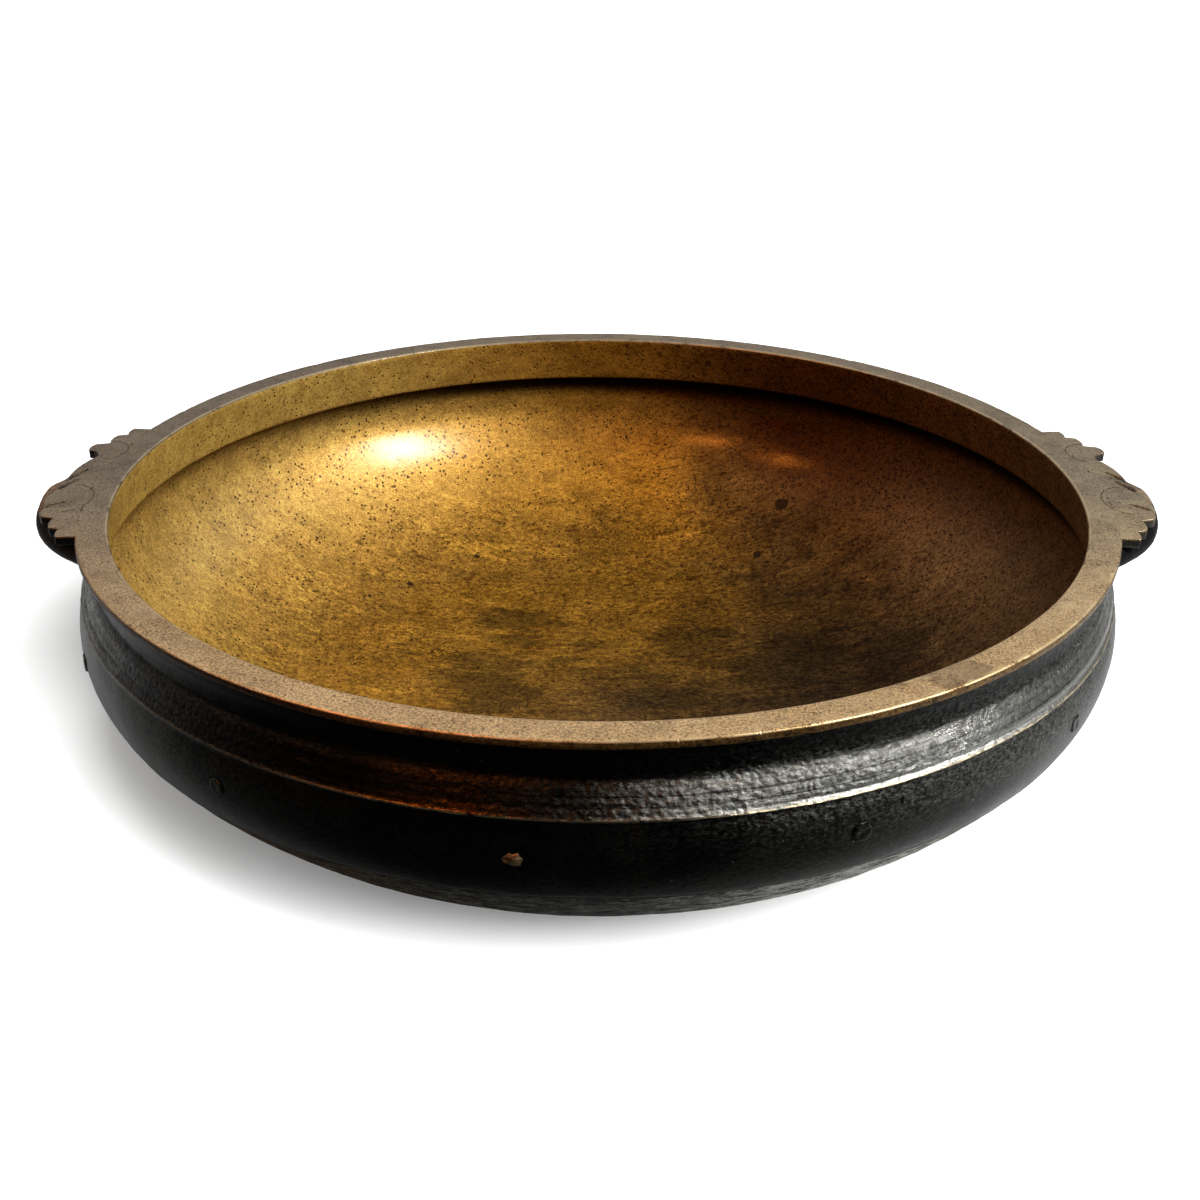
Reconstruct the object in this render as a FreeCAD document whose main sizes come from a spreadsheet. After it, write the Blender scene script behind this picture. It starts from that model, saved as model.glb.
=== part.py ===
"""Traditional South Indian urli: a wide, shallow cooking bowl cast in brass.

Frame: +Z up, origin at the centre of the flat foot, handles on +X and -X. Millimetres and degrees.
Sub-parts: the cast bowl, two leaf-shaped handle plates level with the rim, two D-shaped grips
under them, and the ring of twelve chaplets (core pins) that the casting left through the belly.
"""

import FreeCAD
import Part
import math
import os
import re

import Sketcher

SHEET = "Sizes"

# Driving dimensions: alias, value. Radii are measured from the bowl's axis, heights from the foot.
SIZES = [
    # Rim, neck and shoulder, outside
    ("rim_radius", 240.0),
    ("rim_height", 136.0),
    ("lip_depth", 4.0),
    ("lip_root_radius", 235.6),
    ("lip_root_depth", 4.6),
    ("neck_curve", 13.4),
    ("shoulder_radius", 236.2),
    ("shoulder_height", 114.5),
    # Ridge and belly, outside
    ("ridge_radius", 241.5),
    ("ridge_root_radius", 240.9),
    ("ridge_height", 103.6),
    ("ridge_half_width", 0.6),
    ("belly_curve", 39.5),
    ("belly_foot_radius", 237.5),
    ("belly_foot_height", 68.1),
    # Dish, outside
    ("dish_top_radius", 236.8),
    ("dish_top_height", 67.4),
    ("dish_turn_curve", 148.0),
    ("dish_turn_radius", 145.3),
    ("dish_turn_height", 9.1),
    ("dish_base_curve", 499.6),
    ("foot_radius", 50.0),
    # Collar, belly and dish, inside
    ("mouth_radius", 225.4),
    ("collar_foot_radius", 230.5),
    ("collar_foot_height", 110.4),
    ("collar_root_radius", 233.0),
    ("collar_root_height", 109.2),
    ("hollow_belly_curve", 38.5),
    ("hollow_turn_top_radius", 230.4),
    ("hollow_turn_top_height", 68.0),
    ("hollow_turn_curve", 142.5),
    ("hollow_turn_radius", 144.3),
    ("hollow_turn_height", 14.5),
    ("hollow_base_curve", 494.1),
    ("floor_thickness", 5.5),
    # Chaplets
    ("chaplet_radius", 4.0),
    ("chaplet_height", 88.0),
    ("chaplet_inner_reach", 237.7),
    ("chaplet_outer_reach", 244.3),
    ("chaplet_edge", 0.8),
    ("chaplet_phase", -7.0),
    ("chaplet_step", 30.0),
    # Handle plates: outline of one half, as radius and angle from the handle's middle
    ("plate_thickness", 4.6),
    ("middle_cusp_radius", 251.5),
    ("scallop_curve", 9.8),
    ("inner_cusp_radius", 251.3),
    ("inner_cusp_angle", 3.3),
    ("notch_start_radius", 249.6),
    ("notch_start_angle", 5.8),
    ("notch_curve", 7.2),
    ("long_lobe_start_radius", 255.6),
    ("long_lobe_start_angle", 8.4),
    ("long_lobe_curve", 8.3),
    ("long_lobe_end_radius", 255.3),
    ("long_lobe_end_angle", 10.4),
    ("middle_lobe_start_radius", 249.6),
    ("middle_lobe_start_angle", 11.0),
    ("middle_lobe_curve", 14.0),
    ("middle_lobe_end_radius", 251.0),
    ("middle_lobe_end_angle", 13.5),
    ("short_lobe_start_radius", 246.7),
    ("short_lobe_start_angle", 14.1),
    ("short_lobe_curve", 12.0),
    ("short_lobe_end_radius", 247.9),
    ("short_lobe_end_angle", 16.1),
    ("plate_end_angle", 16.5),
    # Grips
    ("grip_reach", 258.6),
    ("grip_height", 126.1),
    ("grip_section_radius", 5.7),
    ("grip_middle_curve", 100.0),
    ("grip_middle_angle", 16.4),
    ("grip_corner_curve", 68.0),
    ("grip_corner_angle", 70.0),
    ("trim_depth", 40.0),
    ("trim_margin", 1.5),
]
ALIASES = sorted((name for name, _ in SIZES), key=len, reverse=True)
WORD = re.compile(r"(?<![\w.])(" + "|".join(ALIASES) + r")(?!\w)")

CHAPLETS = 12
LEAST_CUT = 100.0  # mm3 that each cut has to take away to count as made
HANDLES = {"right": 0.0, "left": 180.0}

doc = FreeCAD.newDocument("urli")
sheet = doc.addObject("Spreadsheet::Sheet", SHEET)
for row, (alias, number) in enumerate(SIZES, start=1):
    sheet.set(f"A{row}", alias)
    sheet.set(f"B{row}", str(number))
    sheet.setAlias(f"B{row}", alias)
doc.recompute()


def bound(text):
    """The expression with each alias written as a cell of the sheet."""
    return WORD.sub(SHEET + r".\1", text)


def value(text):
    """The number that an expression has now, in mm or degrees."""
    result = sheet.evalExpression(bound(text))
    return float(getattr(result, "Value", result))


def bind(target, path, text):
    """Tie one property of an object to the sheet."""
    target.setExpression(path, bound(text))


def new_body(label):
    body = doc.addObject("PartDesign::Body", label)
    body.Label = label
    return body


def origin_feature(body, role):
    return next(item for item in body.Origin.OriginFeatures if item.Role == role)


def new_sketch(body, name, role, lift=None):
    """A sketch on one of the body's origin planes, raised along its normal by an expression."""
    sketch = body.newObject("Sketcher::SketchObject", name)
    sketch.AttachmentSupport = (origin_feature(body, role), [""])
    sketch.MapMode = "FlatFace"
    if lift:
        sketch.AttachmentOffset.Base.z = value(lift)
        bind(sketch, ".AttachmentOffset.Base.z", lift)
    return sketch


def polar(radius, angle):
    """The two expressions of a corner given by its radius and angle from the handle's middle."""
    return f"({radius}) * cos({angle})", f"({radius}) * sin({angle})"


def arc_between(start, end, radius):
    """The arc from start to end with that radius, which turns left if radius is positive."""
    half = math.dist(start, end) / 2
    rise = math.copysign(math.sqrt(radius * radius - half * half), radius)
    along = ((end[0] - start[0]) / (2 * half), (end[1] - start[1]) / (2 * half))
    centre = (
        (start[0] + end[0]) / 2 - along[1] * rise,
        (start[1] + end[1]) / 2 + along[0] * rise,
    )
    angles = [math.atan2(y - centre[1], x - centre[0]) for x, y in (start, end)]
    if radius < 0:
        angles.reverse()
    if angles[1] < angles[0]:
        angles[1] += 2 * math.pi
    axis = FreeCAD.Vector(0, 0, 1)
    circle = Part.Circle(FreeCAD.Vector(*centre, 0), axis, abs(radius))
    return Part.ArcOfCircle(circle, *angles)


def pin_corner(sketch, edge, point, corner, tag):
    """Hold one end of an edge at its two coordinates, each bound to the sheet."""
    for axis, kind, text in zip("xy", ("DistanceX", "DistanceY"), corner):
        if text == "0":
            on_axis = -2 if axis == "x" else -1
            sketch.addConstraint(
                Sketcher.Constraint("PointOnObject", edge, point, on_axis)
            )
            continue
        label = f"{tag}_{axis}"
        index = sketch.addConstraint(
            Sketcher.Constraint(kind, -1, 1, edge, point, value(text))
        )
        sketch.renameConstraint(index, label)
        bind(sketch, f"Constraints.{label}", text)


def draw(sketch, corners, closed=True):
    """Lines and arcs through the corners. A corner is (name, x, y) or (name, x, y, radius) where
    the edge that leaves it is an arc: a positive radius turns left, a negative one right."""
    places = [(value(c[1]), value(c[2])) for c in corners]
    count = len(corners) if closed else len(corners) - 1
    edges = []
    for i in range(count):
        start, end = places[i], places[(i + 1) % len(corners)]
        radius = value(corners[i][3]) if len(corners[i]) > 3 else 0.0
        if not radius:
            shape = Part.LineSegment(
                FreeCAD.Vector(*start, 0), FreeCAD.Vector(*end, 0)
            )
            edges.append((sketch.addGeometry(shape, False), 1, 2))
            continue
        shape = arc_between(start, end, radius)
        # An arc's own start point is its anticlockwise one.
        first, last = (1, 2) if radius > 0 else (2, 1)
        edges.append((sketch.addGeometry(shape, False), first, last))
        index = sketch.addConstraint(
            Sketcher.Constraint("Radius", edges[-1][0], abs(radius))
        )
        sketch.renameConstraint(index, corners[i][0] + "_radius")
        bind(sketch, f"Constraints.{corners[i][0]}_radius", f"abs({corners[i][3]})")
    for i, (edge, first, _) in enumerate(edges):
        pin_corner(sketch, edge, first, corners[i][1:3], corners[i][0])
        if i:
            before, _, last = edges[i - 1]
            sketch.addConstraint(
                Sketcher.Constraint("Coincident", before, last, edge, first)
            )
    edge, _, last = edges[-1]
    if closed:
        sketch.addConstraint(
            Sketcher.Constraint("Coincident", edge, last, edges[0][0], edges[0][1])
        )
    else:
        pin_corner(sketch, edge, last, corners[-1][1:3], corners[-1][0])
    return sketch


def outside_corners():
    """The bowl's outer outline in the radius-height plane, from the foot up to the rim."""
    return [
        ("foot_middle", "0", "0"),
        ("foot_edge", "foot_radius", "0", "dish_base_curve"),
        ("dish_turn", "dish_turn_radius", "dish_turn_height", "dish_turn_curve"),
        ("dish_top", "dish_top_radius", "dish_top_height"),
        ("belly_foot", "belly_foot_radius", "belly_foot_height", "belly_curve"),
        ("ridge_low", "ridge_root_radius", "ridge_height - ridge_half_width"),
        ("ridge_tip", "ridge_radius", "ridge_height"),
        ("ridge_top", "ridge_root_radius", "ridge_height + ridge_half_width"),
        ("shoulder", "shoulder_radius", "shoulder_height", "-neck_curve"),
        ("lip_root", "lip_root_radius", "rim_height - lip_root_depth"),
        ("lip_low", "rim_radius", "rim_height - lip_depth"),
        ("lip_top", "rim_radius", "rim_height"),
        ("rim_middle", "0", "rim_height"),
    ]


def hollow_corners():
    """The outline of the space inside, from the floor up past the mouth."""
    over = "rim_height + trim_margin"
    return [
        ("floor_middle", "0", "floor_thickness"),
        ("floor_edge", "foot_radius", "floor_thickness", "hollow_base_curve"),
        ("turn", "hollow_turn_radius", "hollow_turn_height", "hollow_turn_curve"),
        (
            "turn_top",
            "hollow_turn_top_radius",
            "hollow_turn_top_height",
            "hollow_belly_curve",
        ),
        ("collar_root", "collar_root_radius", "collar_root_height"),
        ("collar_foot", "collar_foot_radius", "collar_foot_height"),
        ("mouth", "mouth_radius", "rim_height"),
        ("over_mouth", "mouth_radius", over),
        ("over_middle", "0", over),
    ]


def revolve(body, kind, name, sketch):
    """A full turn of the sketch about the body's Z axis, added or cut."""
    feature = body.newObject(kind, name)
    feature.Profile = sketch
    feature.ReferenceAxis = (sketch, ["V_Axis"])
    feature.Angle = 360.0
    return feature


def check_cut(name, before, after, least):
    if before - after < least:
        raise RuntimeError(f"{name} cut {before - after:.1f} mm3, less than {least}")


def make_bowl():
    """One casting: a blank turned to the outer outline, hollowed, with the chaplets' bores."""
    body = new_body("bowl_body")
    blank = draw(new_sketch(body, "bowl_outside", "XZ_Plane"), outside_corners())
    outside = revolve(body, "PartDesign::Revolution", "bowl_blank", blank)
    doc.recompute()
    full = outside.Shape.Volume
    inside = draw(new_sketch(body, "bowl_inside", "XZ_Plane"), hollow_corners())
    hollow = revolve(body, "PartDesign::Groove", "bowl_hollow", inside)
    doc.recompute()
    shell = hollow.Shape.Volume
    check_cut("bowl_hollow", full, shell, full / 2)
    mark = new_sketch(body, "chaplet_mark", "YZ_Plane", "mouth_radius")
    draw_disc(mark, "0", "chaplet_height", "chaplet_radius")
    bore = body.newObject("PartDesign::Pocket", "chaplet_bore")
    bore.Profile = mark
    bore.Reversed = True
    bind(bore, "Length", "chaplet_outer_reach - mouth_radius")
    doc.recompute()
    one = shell - bore.Shape.Volume
    check_cut("chaplet_bore", shell, bore.Shape.Volume, LEAST_CUT)
    ring = body.newObject("PartDesign::PolarPattern", "chaplet_bores")
    ring.Originals = [bore]
    ring.Axis = (origin_feature(body, "Z_Axis"), [""])
    ring.Angle = 360.0
    ring.Occurrences = CHAPLETS
    body.Tip = ring
    doc.recompute()
    check_cut("chaplet_bores", shell, ring.Shape.Volume, one * CHAPLETS - LEAST_CUT)
    turn(body, "chaplet_phase")
    return body


def draw_disc(sketch, x, y, radius):
    """A circle whose centre and radius are bound to the sheet."""
    centre = FreeCAD.Vector(value(x), value(y), 0)
    circle = Part.Circle(centre, FreeCAD.Vector(0, 0, 1), value(radius))
    edge = sketch.addGeometry(circle, False)
    pin_corner(sketch, edge, 3, (x, y), "centre")
    index = sketch.addConstraint(Sketcher.Constraint("Radius", edge, value(radius)))
    sketch.renameConstraint(index, "disc_radius")
    bind(sketch, "Constraints.disc_radius", radius)
    return sketch


def turn(body, angle):
    """Turn a finished body about the bowl's axis by an expression in degrees."""
    body.Placement = FreeCAD.Placement(
        FreeCAD.Vector(0, 0, 0), FreeCAD.Rotation(FreeCAD.Vector(0, 0, 1), value(angle))
    )
    bind(body, ".Placement.Rotation.Angle", angle)


def mirror_across_middle(body, feature, name):
    """The other half of a handle piece, across the XZ plane."""
    whole = body.newObject("PartDesign::Mirrored", name)
    whole.Originals = [feature]
    whole.MirrorPlane = (origin_feature(body, "XZ_Plane"), [""])
    body.Tip = whole
    doc.recompute()
    return whole


def plate_corners():
    """Half of the plate's outline: the middle scallop, the eye notch, three stepped lobes."""
    steps = [
        ("notch_start", "notch_start", "-notch_curve"),
        ("long_lobe_start", "long_lobe_start", "long_lobe_curve"),
        ("long_lobe_end", "long_lobe_end", None),
        ("middle_lobe_start", "middle_lobe_start", "middle_lobe_curve"),
        ("middle_lobe_end", "middle_lobe_end", None),
        ("short_lobe_start", "short_lobe_start", "short_lobe_curve"),
        ("short_lobe_end", "short_lobe_end", None),
    ]
    corners = [
        ("rim_middle", "rim_radius", "0"),
        ("middle_cusp", "middle_cusp_radius", "0", "-scallop_curve"),
        ("inner_cusp", *polar("inner_cusp_radius", "inner_cusp_angle")),
    ]
    for name, stem, curve in steps:
        corner = (name, *polar(stem + "_radius", stem + "_angle"))
        corners.append(corner + (curve,) if curve else corner)
    corners.append(
        ("plate_end", *polar("rim_radius", "plate_end_angle"), "-rim_radius")
    )
    return corners


def make_plate(side, angle):
    """The leaf-shaped plate that widens the rim above one grip."""
    body = new_body(f"{side}_handle_plate")
    outline = new_sketch(
        body, f"{side}_plate_outline", "XY_Plane", "rim_height - plate_thickness"
    )
    draw(outline, plate_corners())
    half = body.newObject("PartDesign::Pad", f"{side}_half_plate")
    half.Profile = outline
    bind(half, "Length", "plate_thickness")
    doc.recompute()
    mirror_across_middle(body, half, f"{side}_whole_plate")
    turn(body, angle)
    return body


def grip_path_corners():
    """Half of the grip's centre line: a flat middle arc and a tighter one into the neck."""
    middle = "grip_reach - grip_middle_curve"
    inset = "(grip_middle_curve - grip_corner_curve)"
    join = (
        f"{middle} + grip_middle_curve * cos(grip_middle_angle)",
        "grip_middle_curve * sin(grip_middle_angle)",
    )
    end = (
        f"{middle} + {inset} * cos(grip_middle_angle) + grip_corner_curve * cos(grip_corner_angle)",
        f"{inset} * sin(grip_middle_angle) + grip_corner_curve * sin(grip_corner_angle)",
    )
    return [
        ("path_middle", "grip_reach", "0", "grip_middle_curve"),
        ("path_join", *join, "grip_corner_curve"),
        ("path_end", *end),
    ]


def grip_section_corners():
    """The bar's section: round, with a flat on top where it bears on the plate."""
    flat = "rim_height - plate_thickness"
    half = f"sqrt(grip_section_radius ^ 2 - ({flat} - grip_height) ^ 2)"
    bottom = ("section_low", "grip_reach", "grip_height - grip_section_radius")
    return [
        ("flat_out", f"grip_reach + {half}", flat),
        ("flat_in", f"grip_reach - {half}", flat, "grip_section_radius"),
        (*bottom, "grip_section_radius"),
    ]


def neck_trim_corners():
    """The part of the bowl's outer outline that the grip's ends butt against."""
    deep = "shoulder_radius - trim_depth"
    low = "shoulder_height - trim_margin"
    high = "rim_height - lip_root_depth + trim_margin"
    return [
        ("trim_low_in", deep, low),
        ("trim_low_out", "shoulder_radius", low),
        ("trim_shoulder", "shoulder_radius", "shoulder_height", "-neck_curve"),
        ("trim_lip", "lip_root_radius", "rim_height - lip_root_depth"),
        ("trim_high_out", "lip_root_radius", high),
        ("trim_high_in", deep, high),
    ]


def make_grip(side, angle):
    """The D-shaped bar under one plate, its two ends butting against the neck."""
    body = new_body(f"{side}_handle_grip")
    path = new_sketch(body, f"{side}_grip_path", "XY_Plane", "grip_height")
    draw(path, grip_path_corners(), closed=False)
    section = new_sketch(body, f"{side}_grip_section", "XZ_Plane")
    draw(section, grip_section_corners())
    half = body.newObject("PartDesign::AdditivePipe", f"{side}_half_grip")
    half.Profile = section
    half.Spine = (path, ["Edge1", "Edge2"])
    doc.recompute()
    whole = mirror_across_middle(body, half, f"{side}_long_grip")
    long_volume = whole.Shape.Volume
    trim = draw(
        new_sketch(body, f"{side}_neck_trim", "XZ_Plane"), neck_trim_corners()
    )
    cut = revolve(body, "PartDesign::Groove", f"{side}_trimmed_grip", trim)
    doc.recompute()
    check_cut(f"{side}_trimmed_grip", long_volume, cut.Shape.Volume, LEAST_CUT)
    turn(body, angle)
    return body


def make_chaplet(number):
    """One core pin: flush with the inner wall, a little proud of the belly outside."""
    body = new_body(f"belly_chaplet_{number:02d}")
    disc = new_sketch(
        body, f"chaplet_disc_{number:02d}", "YZ_Plane", "chaplet_inner_reach"
    )
    draw_disc(disc, "0", "chaplet_height", "chaplet_radius")
    pin = body.newObject("PartDesign::Pad", f"chaplet_pin_{number:02d}")
    pin.Profile = disc
    bind(pin, "Length", "chaplet_outer_reach - chaplet_inner_reach")
    doc.recompute()
    head = max(
        range(len(pin.Shape.Edges)), key=lambda i: pin.Shape.Edges[i].BoundBox.XMin
    )
    rounded = body.newObject("PartDesign::Fillet", f"chaplet_head_{number:02d}")
    rounded.Base = (pin, [f"Edge{head + 1}"])
    rounded.Radius = value("chaplet_edge")
    bind(rounded, "Radius", "chaplet_edge")
    doc.recompute()
    turn(body, f"chaplet_phase + chaplet_step * {number - 1}")
    return body


def check_document():
    """Stop if any object failed to recompute."""
    failed = [o.Label for o in doc.Objects if {"Invalid", "Error"} & set(o.State)]
    if failed:
        raise RuntimeError("failed objects: " + ", ".join(failed))


def check_shape(body):
    """Stop if a sub-part's shape is empty, broken or more than one solid."""
    shape = body.Shape
    if shape.isNull() or not shape.isValid() or len(shape.Solids) != 1:
        raise RuntimeError(f"{body.Label} has no single valid solid")


pieces = [make_bowl()]
for handle_side, handle_angle in HANDLES.items():
    pieces.append(make_plate(handle_side, str(handle_angle)))
    pieces.append(make_grip(handle_side, str(handle_angle)))
pieces += [make_chaplet(number) for number in range(1, CHAPLETS + 1)]
doc.recompute()
check_document()
for piece in pieces:
    check_shape(piece)

os.makedirs("parts", exist_ok=True)
for piece in pieces:
    piece.Shape.exportStep(f"parts/{piece.Label}.step")
    box = piece.Shape.optimalBoundingBox(True, False)
    print(
        f"{piece.Label}: {piece.Shape.Volume / 1000:.2f} cm3, "
        f"x {box.XMin:.1f}..{box.XMax:.1f}, y {box.YMin:.1f}..{box.YMax:.1f}, "
        f"z {box.ZMin:.1f}..{box.ZMax:.1f}"
    )
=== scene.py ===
import math

import bmesh
import bpy
import numpy as np
from mathutils import Matrix, Vector
from mathutils.geometry import delaunay_2d_cdt


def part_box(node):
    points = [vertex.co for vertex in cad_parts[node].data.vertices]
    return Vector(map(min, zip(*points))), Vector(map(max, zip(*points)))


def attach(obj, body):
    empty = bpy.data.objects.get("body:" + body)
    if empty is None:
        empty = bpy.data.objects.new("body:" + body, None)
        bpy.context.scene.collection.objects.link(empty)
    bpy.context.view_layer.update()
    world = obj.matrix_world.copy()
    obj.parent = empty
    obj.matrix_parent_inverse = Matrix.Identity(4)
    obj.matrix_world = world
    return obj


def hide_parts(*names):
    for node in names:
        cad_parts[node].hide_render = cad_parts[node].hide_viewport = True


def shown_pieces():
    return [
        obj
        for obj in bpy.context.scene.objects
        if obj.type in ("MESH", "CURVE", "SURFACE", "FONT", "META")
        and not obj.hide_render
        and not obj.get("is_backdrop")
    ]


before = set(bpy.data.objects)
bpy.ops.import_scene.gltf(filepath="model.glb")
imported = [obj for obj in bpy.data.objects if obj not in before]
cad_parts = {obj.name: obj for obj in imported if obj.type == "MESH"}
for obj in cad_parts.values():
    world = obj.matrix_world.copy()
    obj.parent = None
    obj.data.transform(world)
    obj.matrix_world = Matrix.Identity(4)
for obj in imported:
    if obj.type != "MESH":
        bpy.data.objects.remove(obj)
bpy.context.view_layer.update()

# ---- sizes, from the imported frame
RIM_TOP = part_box("bowl_body")[1].z
HEIGHT = 136.0  # mm, as are RIM and the shapes below
MM = RIM_TOP / HEIGHT
RIM = 240.0
PLATE_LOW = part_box("right_handle_plate")[0].z / MM
SEGMENTS = 512  # round the bowl where it is finest; the foot has a 32nd of it
WALL_MIDDLE = 230.6  # radius inside the neck's wall, where the grips' ends stop
RUBBED_CHAPLET = 10
# turned grooves on the shoulder and neck: height, depth and width
GROOVES = ((107.8, 0.5, 0.5), (111.6, 0.4, 0.55), (114.6, 0.18, 0.5), (117.6, 0.3, 0.6))


# ---- camera
CAMERA_PLACE = (-0.02673, -2.95922, 1.18791)  # from the middle of the rim, in rim radii
CAMERA_PITCH, CAMERA_YAW, CAMERA_ROLL = 0.4569, 0.0105, -0.00676
SENSOR, LENS = 36.0, 48.0


def make_camera():
    """The camera in front of the bowl and above it, looking down into it."""
    sink, swing, roll = CAMERA_PITCH, CAMERA_YAW, CAMERA_ROLL
    forward = Vector((math.sin(swing) * math.cos(sink), math.cos(swing) * math.cos(sink), -math.sin(sink)))
    level = forward.cross(Vector((0, 0, 1))).normalized()
    upright = level.cross(forward)
    right = level * math.cos(roll) - upright * math.sin(roll)
    up = level * math.sin(roll) + upright * math.cos(roll)
    data = bpy.data.cameras.new("camera")
    data.sensor_width = SENSOR
    data.lens = LENS
    camera = bpy.data.objects.new("camera", data)
    turn = Matrix((right, up, -forward)).transposed()
    place = Vector(CAMERA_PLACE) * RIM * MM + Vector((0, 0, RIM_TOP))
    camera.matrix_world = Matrix.Translation(place) @ turn.to_4x4()
    bpy.context.scene.collection.objects.link(camera)
    bpy.context.scene.camera = camera


# ---- noise on points, the same each run
def lattice(ix, iy, iz, seed):
    """A number from -1 to 1 for each place on a whole-number lattice."""
    mixed = (ix * 73856093) ^ (iy * 19349663) ^ (iz * 83492791) ^ (seed * 2654435761)
    mixed = (mixed ^ (mixed >> 15)) * 2246822519 & 0xFFFFFFFF
    mixed = (mixed ^ (mixed >> 13)) * 3266489917 & 0xFFFFFFFF
    return ((mixed ^ (mixed >> 16)) & 0xFFFFFF) / 0x7FFFFF - 1.0


def noise(points, size, seed=0):
    """Smooth lumps about size mm across, from -1 to 1."""
    scaled = points / size
    base = np.floor(scaled).astype(np.int64)
    part = scaled - base
    part = part * part * part * (part * (part * 6 - 15) + 10)
    total = 0.0
    for dx in (0, 1):
        wx = part[:, 0] if dx else 1 - part[:, 0]
        for dy in (0, 1):
            wy = part[:, 1] if dy else 1 - part[:, 1]
            for dz in (0, 1):
                wz = part[:, 2] if dz else 1 - part[:, 2]
                corner = lattice(base[:, 0] + dx, base[:, 1] + dy, base[:, 2] + dz, seed)
                total = total + wx * wy * wz * corner
    return total


def layered(points, size, octaves, seed=0):
    """Noise with finer, weaker noise added to it."""
    total = 0.0
    share = 1.0
    for step in range(octaves):
        total = total + share * noise(points, size / 2 ** step, seed + 17 * step)
        share *= 0.5
    return total


def smooth(value, low, high):
    """0 below low, 1 above high, and smooth between."""
    t = np.clip((value - low) / (high - low), 0, 1)
    return t * t * (3 - 2 * t)


def hump(value, middle, width):
    """1 at middle, falling to 0 about width away."""
    return np.exp(-(((value - middle) / width) ** 2))


def hump_angle(angle, middle, width):
    """The same on a circle, in degrees."""
    away = (angle - middle + 180) % 360 - 180
    return np.exp(-((away / width) ** 2))


# ---- the bowl's profile, in mm
def arc_points(start, end, radius, count):
    """Points after start and up to end on an arc; it bulges to the left of its way for a radius above 0."""
    (x0, y0), (x1, y1) = start, end
    half = math.hypot(x1 - x0, y1 - y0) / 2
    ux, uy = (x1 - x0) / (2 * half), (y1 - y0) / (2 * half)
    rise = math.sqrt(radius * radius - half * half)
    side = 1 if radius > 0 else -1
    cx, cy = (x0 + x1) / 2 + uy * rise * side, (y0 + y1) / 2 - ux * rise * side
    first = math.atan2(y0 - cy, x0 - cx)
    sweep = -side * 2 * math.asin(half / abs(radius))
    ways = [first + sweep * i / count for i in range(1, count + 1)]
    return [(cx + abs(radius) * math.cos(way), cy + abs(radius) * math.sin(way)) for way in ways]


def line_points(start, end, count):
    """Points after start and up to end on a straight line."""
    return [
        (start[0] + (end[0] - start[0]) * i / count, start[1] + (end[1] - start[1]) * i / count)
        for i in range(1, count + 1)
    ]


def turning_points(start, way, turns):
    """Points after start on arcs that bend the same way; 0 degrees is outward, 90 down, 180 inward."""
    r, z = start
    points = []
    for radius, until, count in turns:
        first = math.radians(way)
        for i in range(1, count + 1):
            now = math.radians(way + (until - way) * i / count)
            out, up = math.sin(now) - math.sin(first), math.cos(now) - math.cos(first)
            points.append((r + radius * out, z + radius * up))
        r, z = points[-1]
        way = until
    return points


ZONES = "foot dish belly ridge shoulder neck lip rim edge collar hollow floor".split()


def profile():
    """Rows of (radius, height, zone, segments) from the foot's middle round the rim to the floor's."""
    rows = []

    def add(points, zone, share=1):
        rows.extend((r, z, ZONES.index(zone), SEGMENTS // share) for r, z in points)

    add([(5, 0), (10, 0)], "foot", 32)
    add([(18, 0), (27, 0)], "foot", 16)
    add([(38, 0), (50, 0)], "foot", 8)
    base = arc_points((50, 0), (145.3, 9.1), -499.6, 16)
    add(base[:5], "dish", 8)
    add(base[5:12], "dish", 4)
    add(base[12:], "dish", 2)
    add(arc_points((145.3, 9.1), (236.2, 66.9), -148, 26), "dish", 2)
    rows[-8:] = [(r, z, zone, SEGMENTS) for r, z, zone, _ in rows[-8:]]
    add([(236.7, 67.3), (236.9, 67.8), (237.6, 68.4)], "belly")
    add(arc_points((237.6, 68.4), (240.8, 103.0), -39.5, 22), "belly")
    add([(241.1, 103.2), (241.5, 103.5), (241.5, 103.8), (241.1, 104.2), (240.6, 104.6)], "ridge")
    add(line_points((240.6, 104.6), (236.6, 114.2), 9), "shoulder")
    add(arc_points((236.6, 114.2), (235.4, 128.6), 13.4, 11), "neck")
    add([(236.4, 128.8), (237.2, 129.4), (237.4, 130.2), (237.1, 131.0), (236.6, 131.5)], "neck")
    add([(237.4, 131.7), (238.8, 131.9), (239.6, 132.2), (240.0, 132.8), (240.05, 133.8)], "lip")
    add([(240.0, 134.7), (239.8, 135.35), (239.4, 135.75), (238.8, 135.93)], "lip")
    add(line_points((238.8, 135.93), (226.9, 135.95), 9), "rim")
    add([(226.3, 135.85), (225.8, 135.5), (225.6, 135.0)], "edge")
    add(line_points((225.6, 135.0), (230.1, 111.6), 11), "collar")
    add([(230.3, 110.9), (230.7, 110.4), (231.3, 109.9), (232.3, 109.5), (233.1, 108.9)], "collar")
    turns = [(12, 90, 7), (35, 116, 8), (100, 134, 13), (205, 146, 11), (106, 169.1, 9)]
    wall = turning_points((233.1, 108.9), 37, turns)
    add(wall[:20], "hollow")
    slope = wall[20:]
    add(slope[:-1], "floor")
    middle = arc_points(slope[-1], (50, 5.5), 494.1, 34)
    add([slope[-1]] + middle[:24], "floor", 2)
    add(middle[24:], "floor", 4)
    add([(44, 5.5), (38, 5.5)], "floor", 4)
    add([(32, 5.5), (26, 5.5), (20, 5.5)], "floor", 8)
    add([(14, 5.5), (9, 5.5)], "floor", 16)
    add([(4.5, 5.5)], "floor", 32)
    return rows


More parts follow.
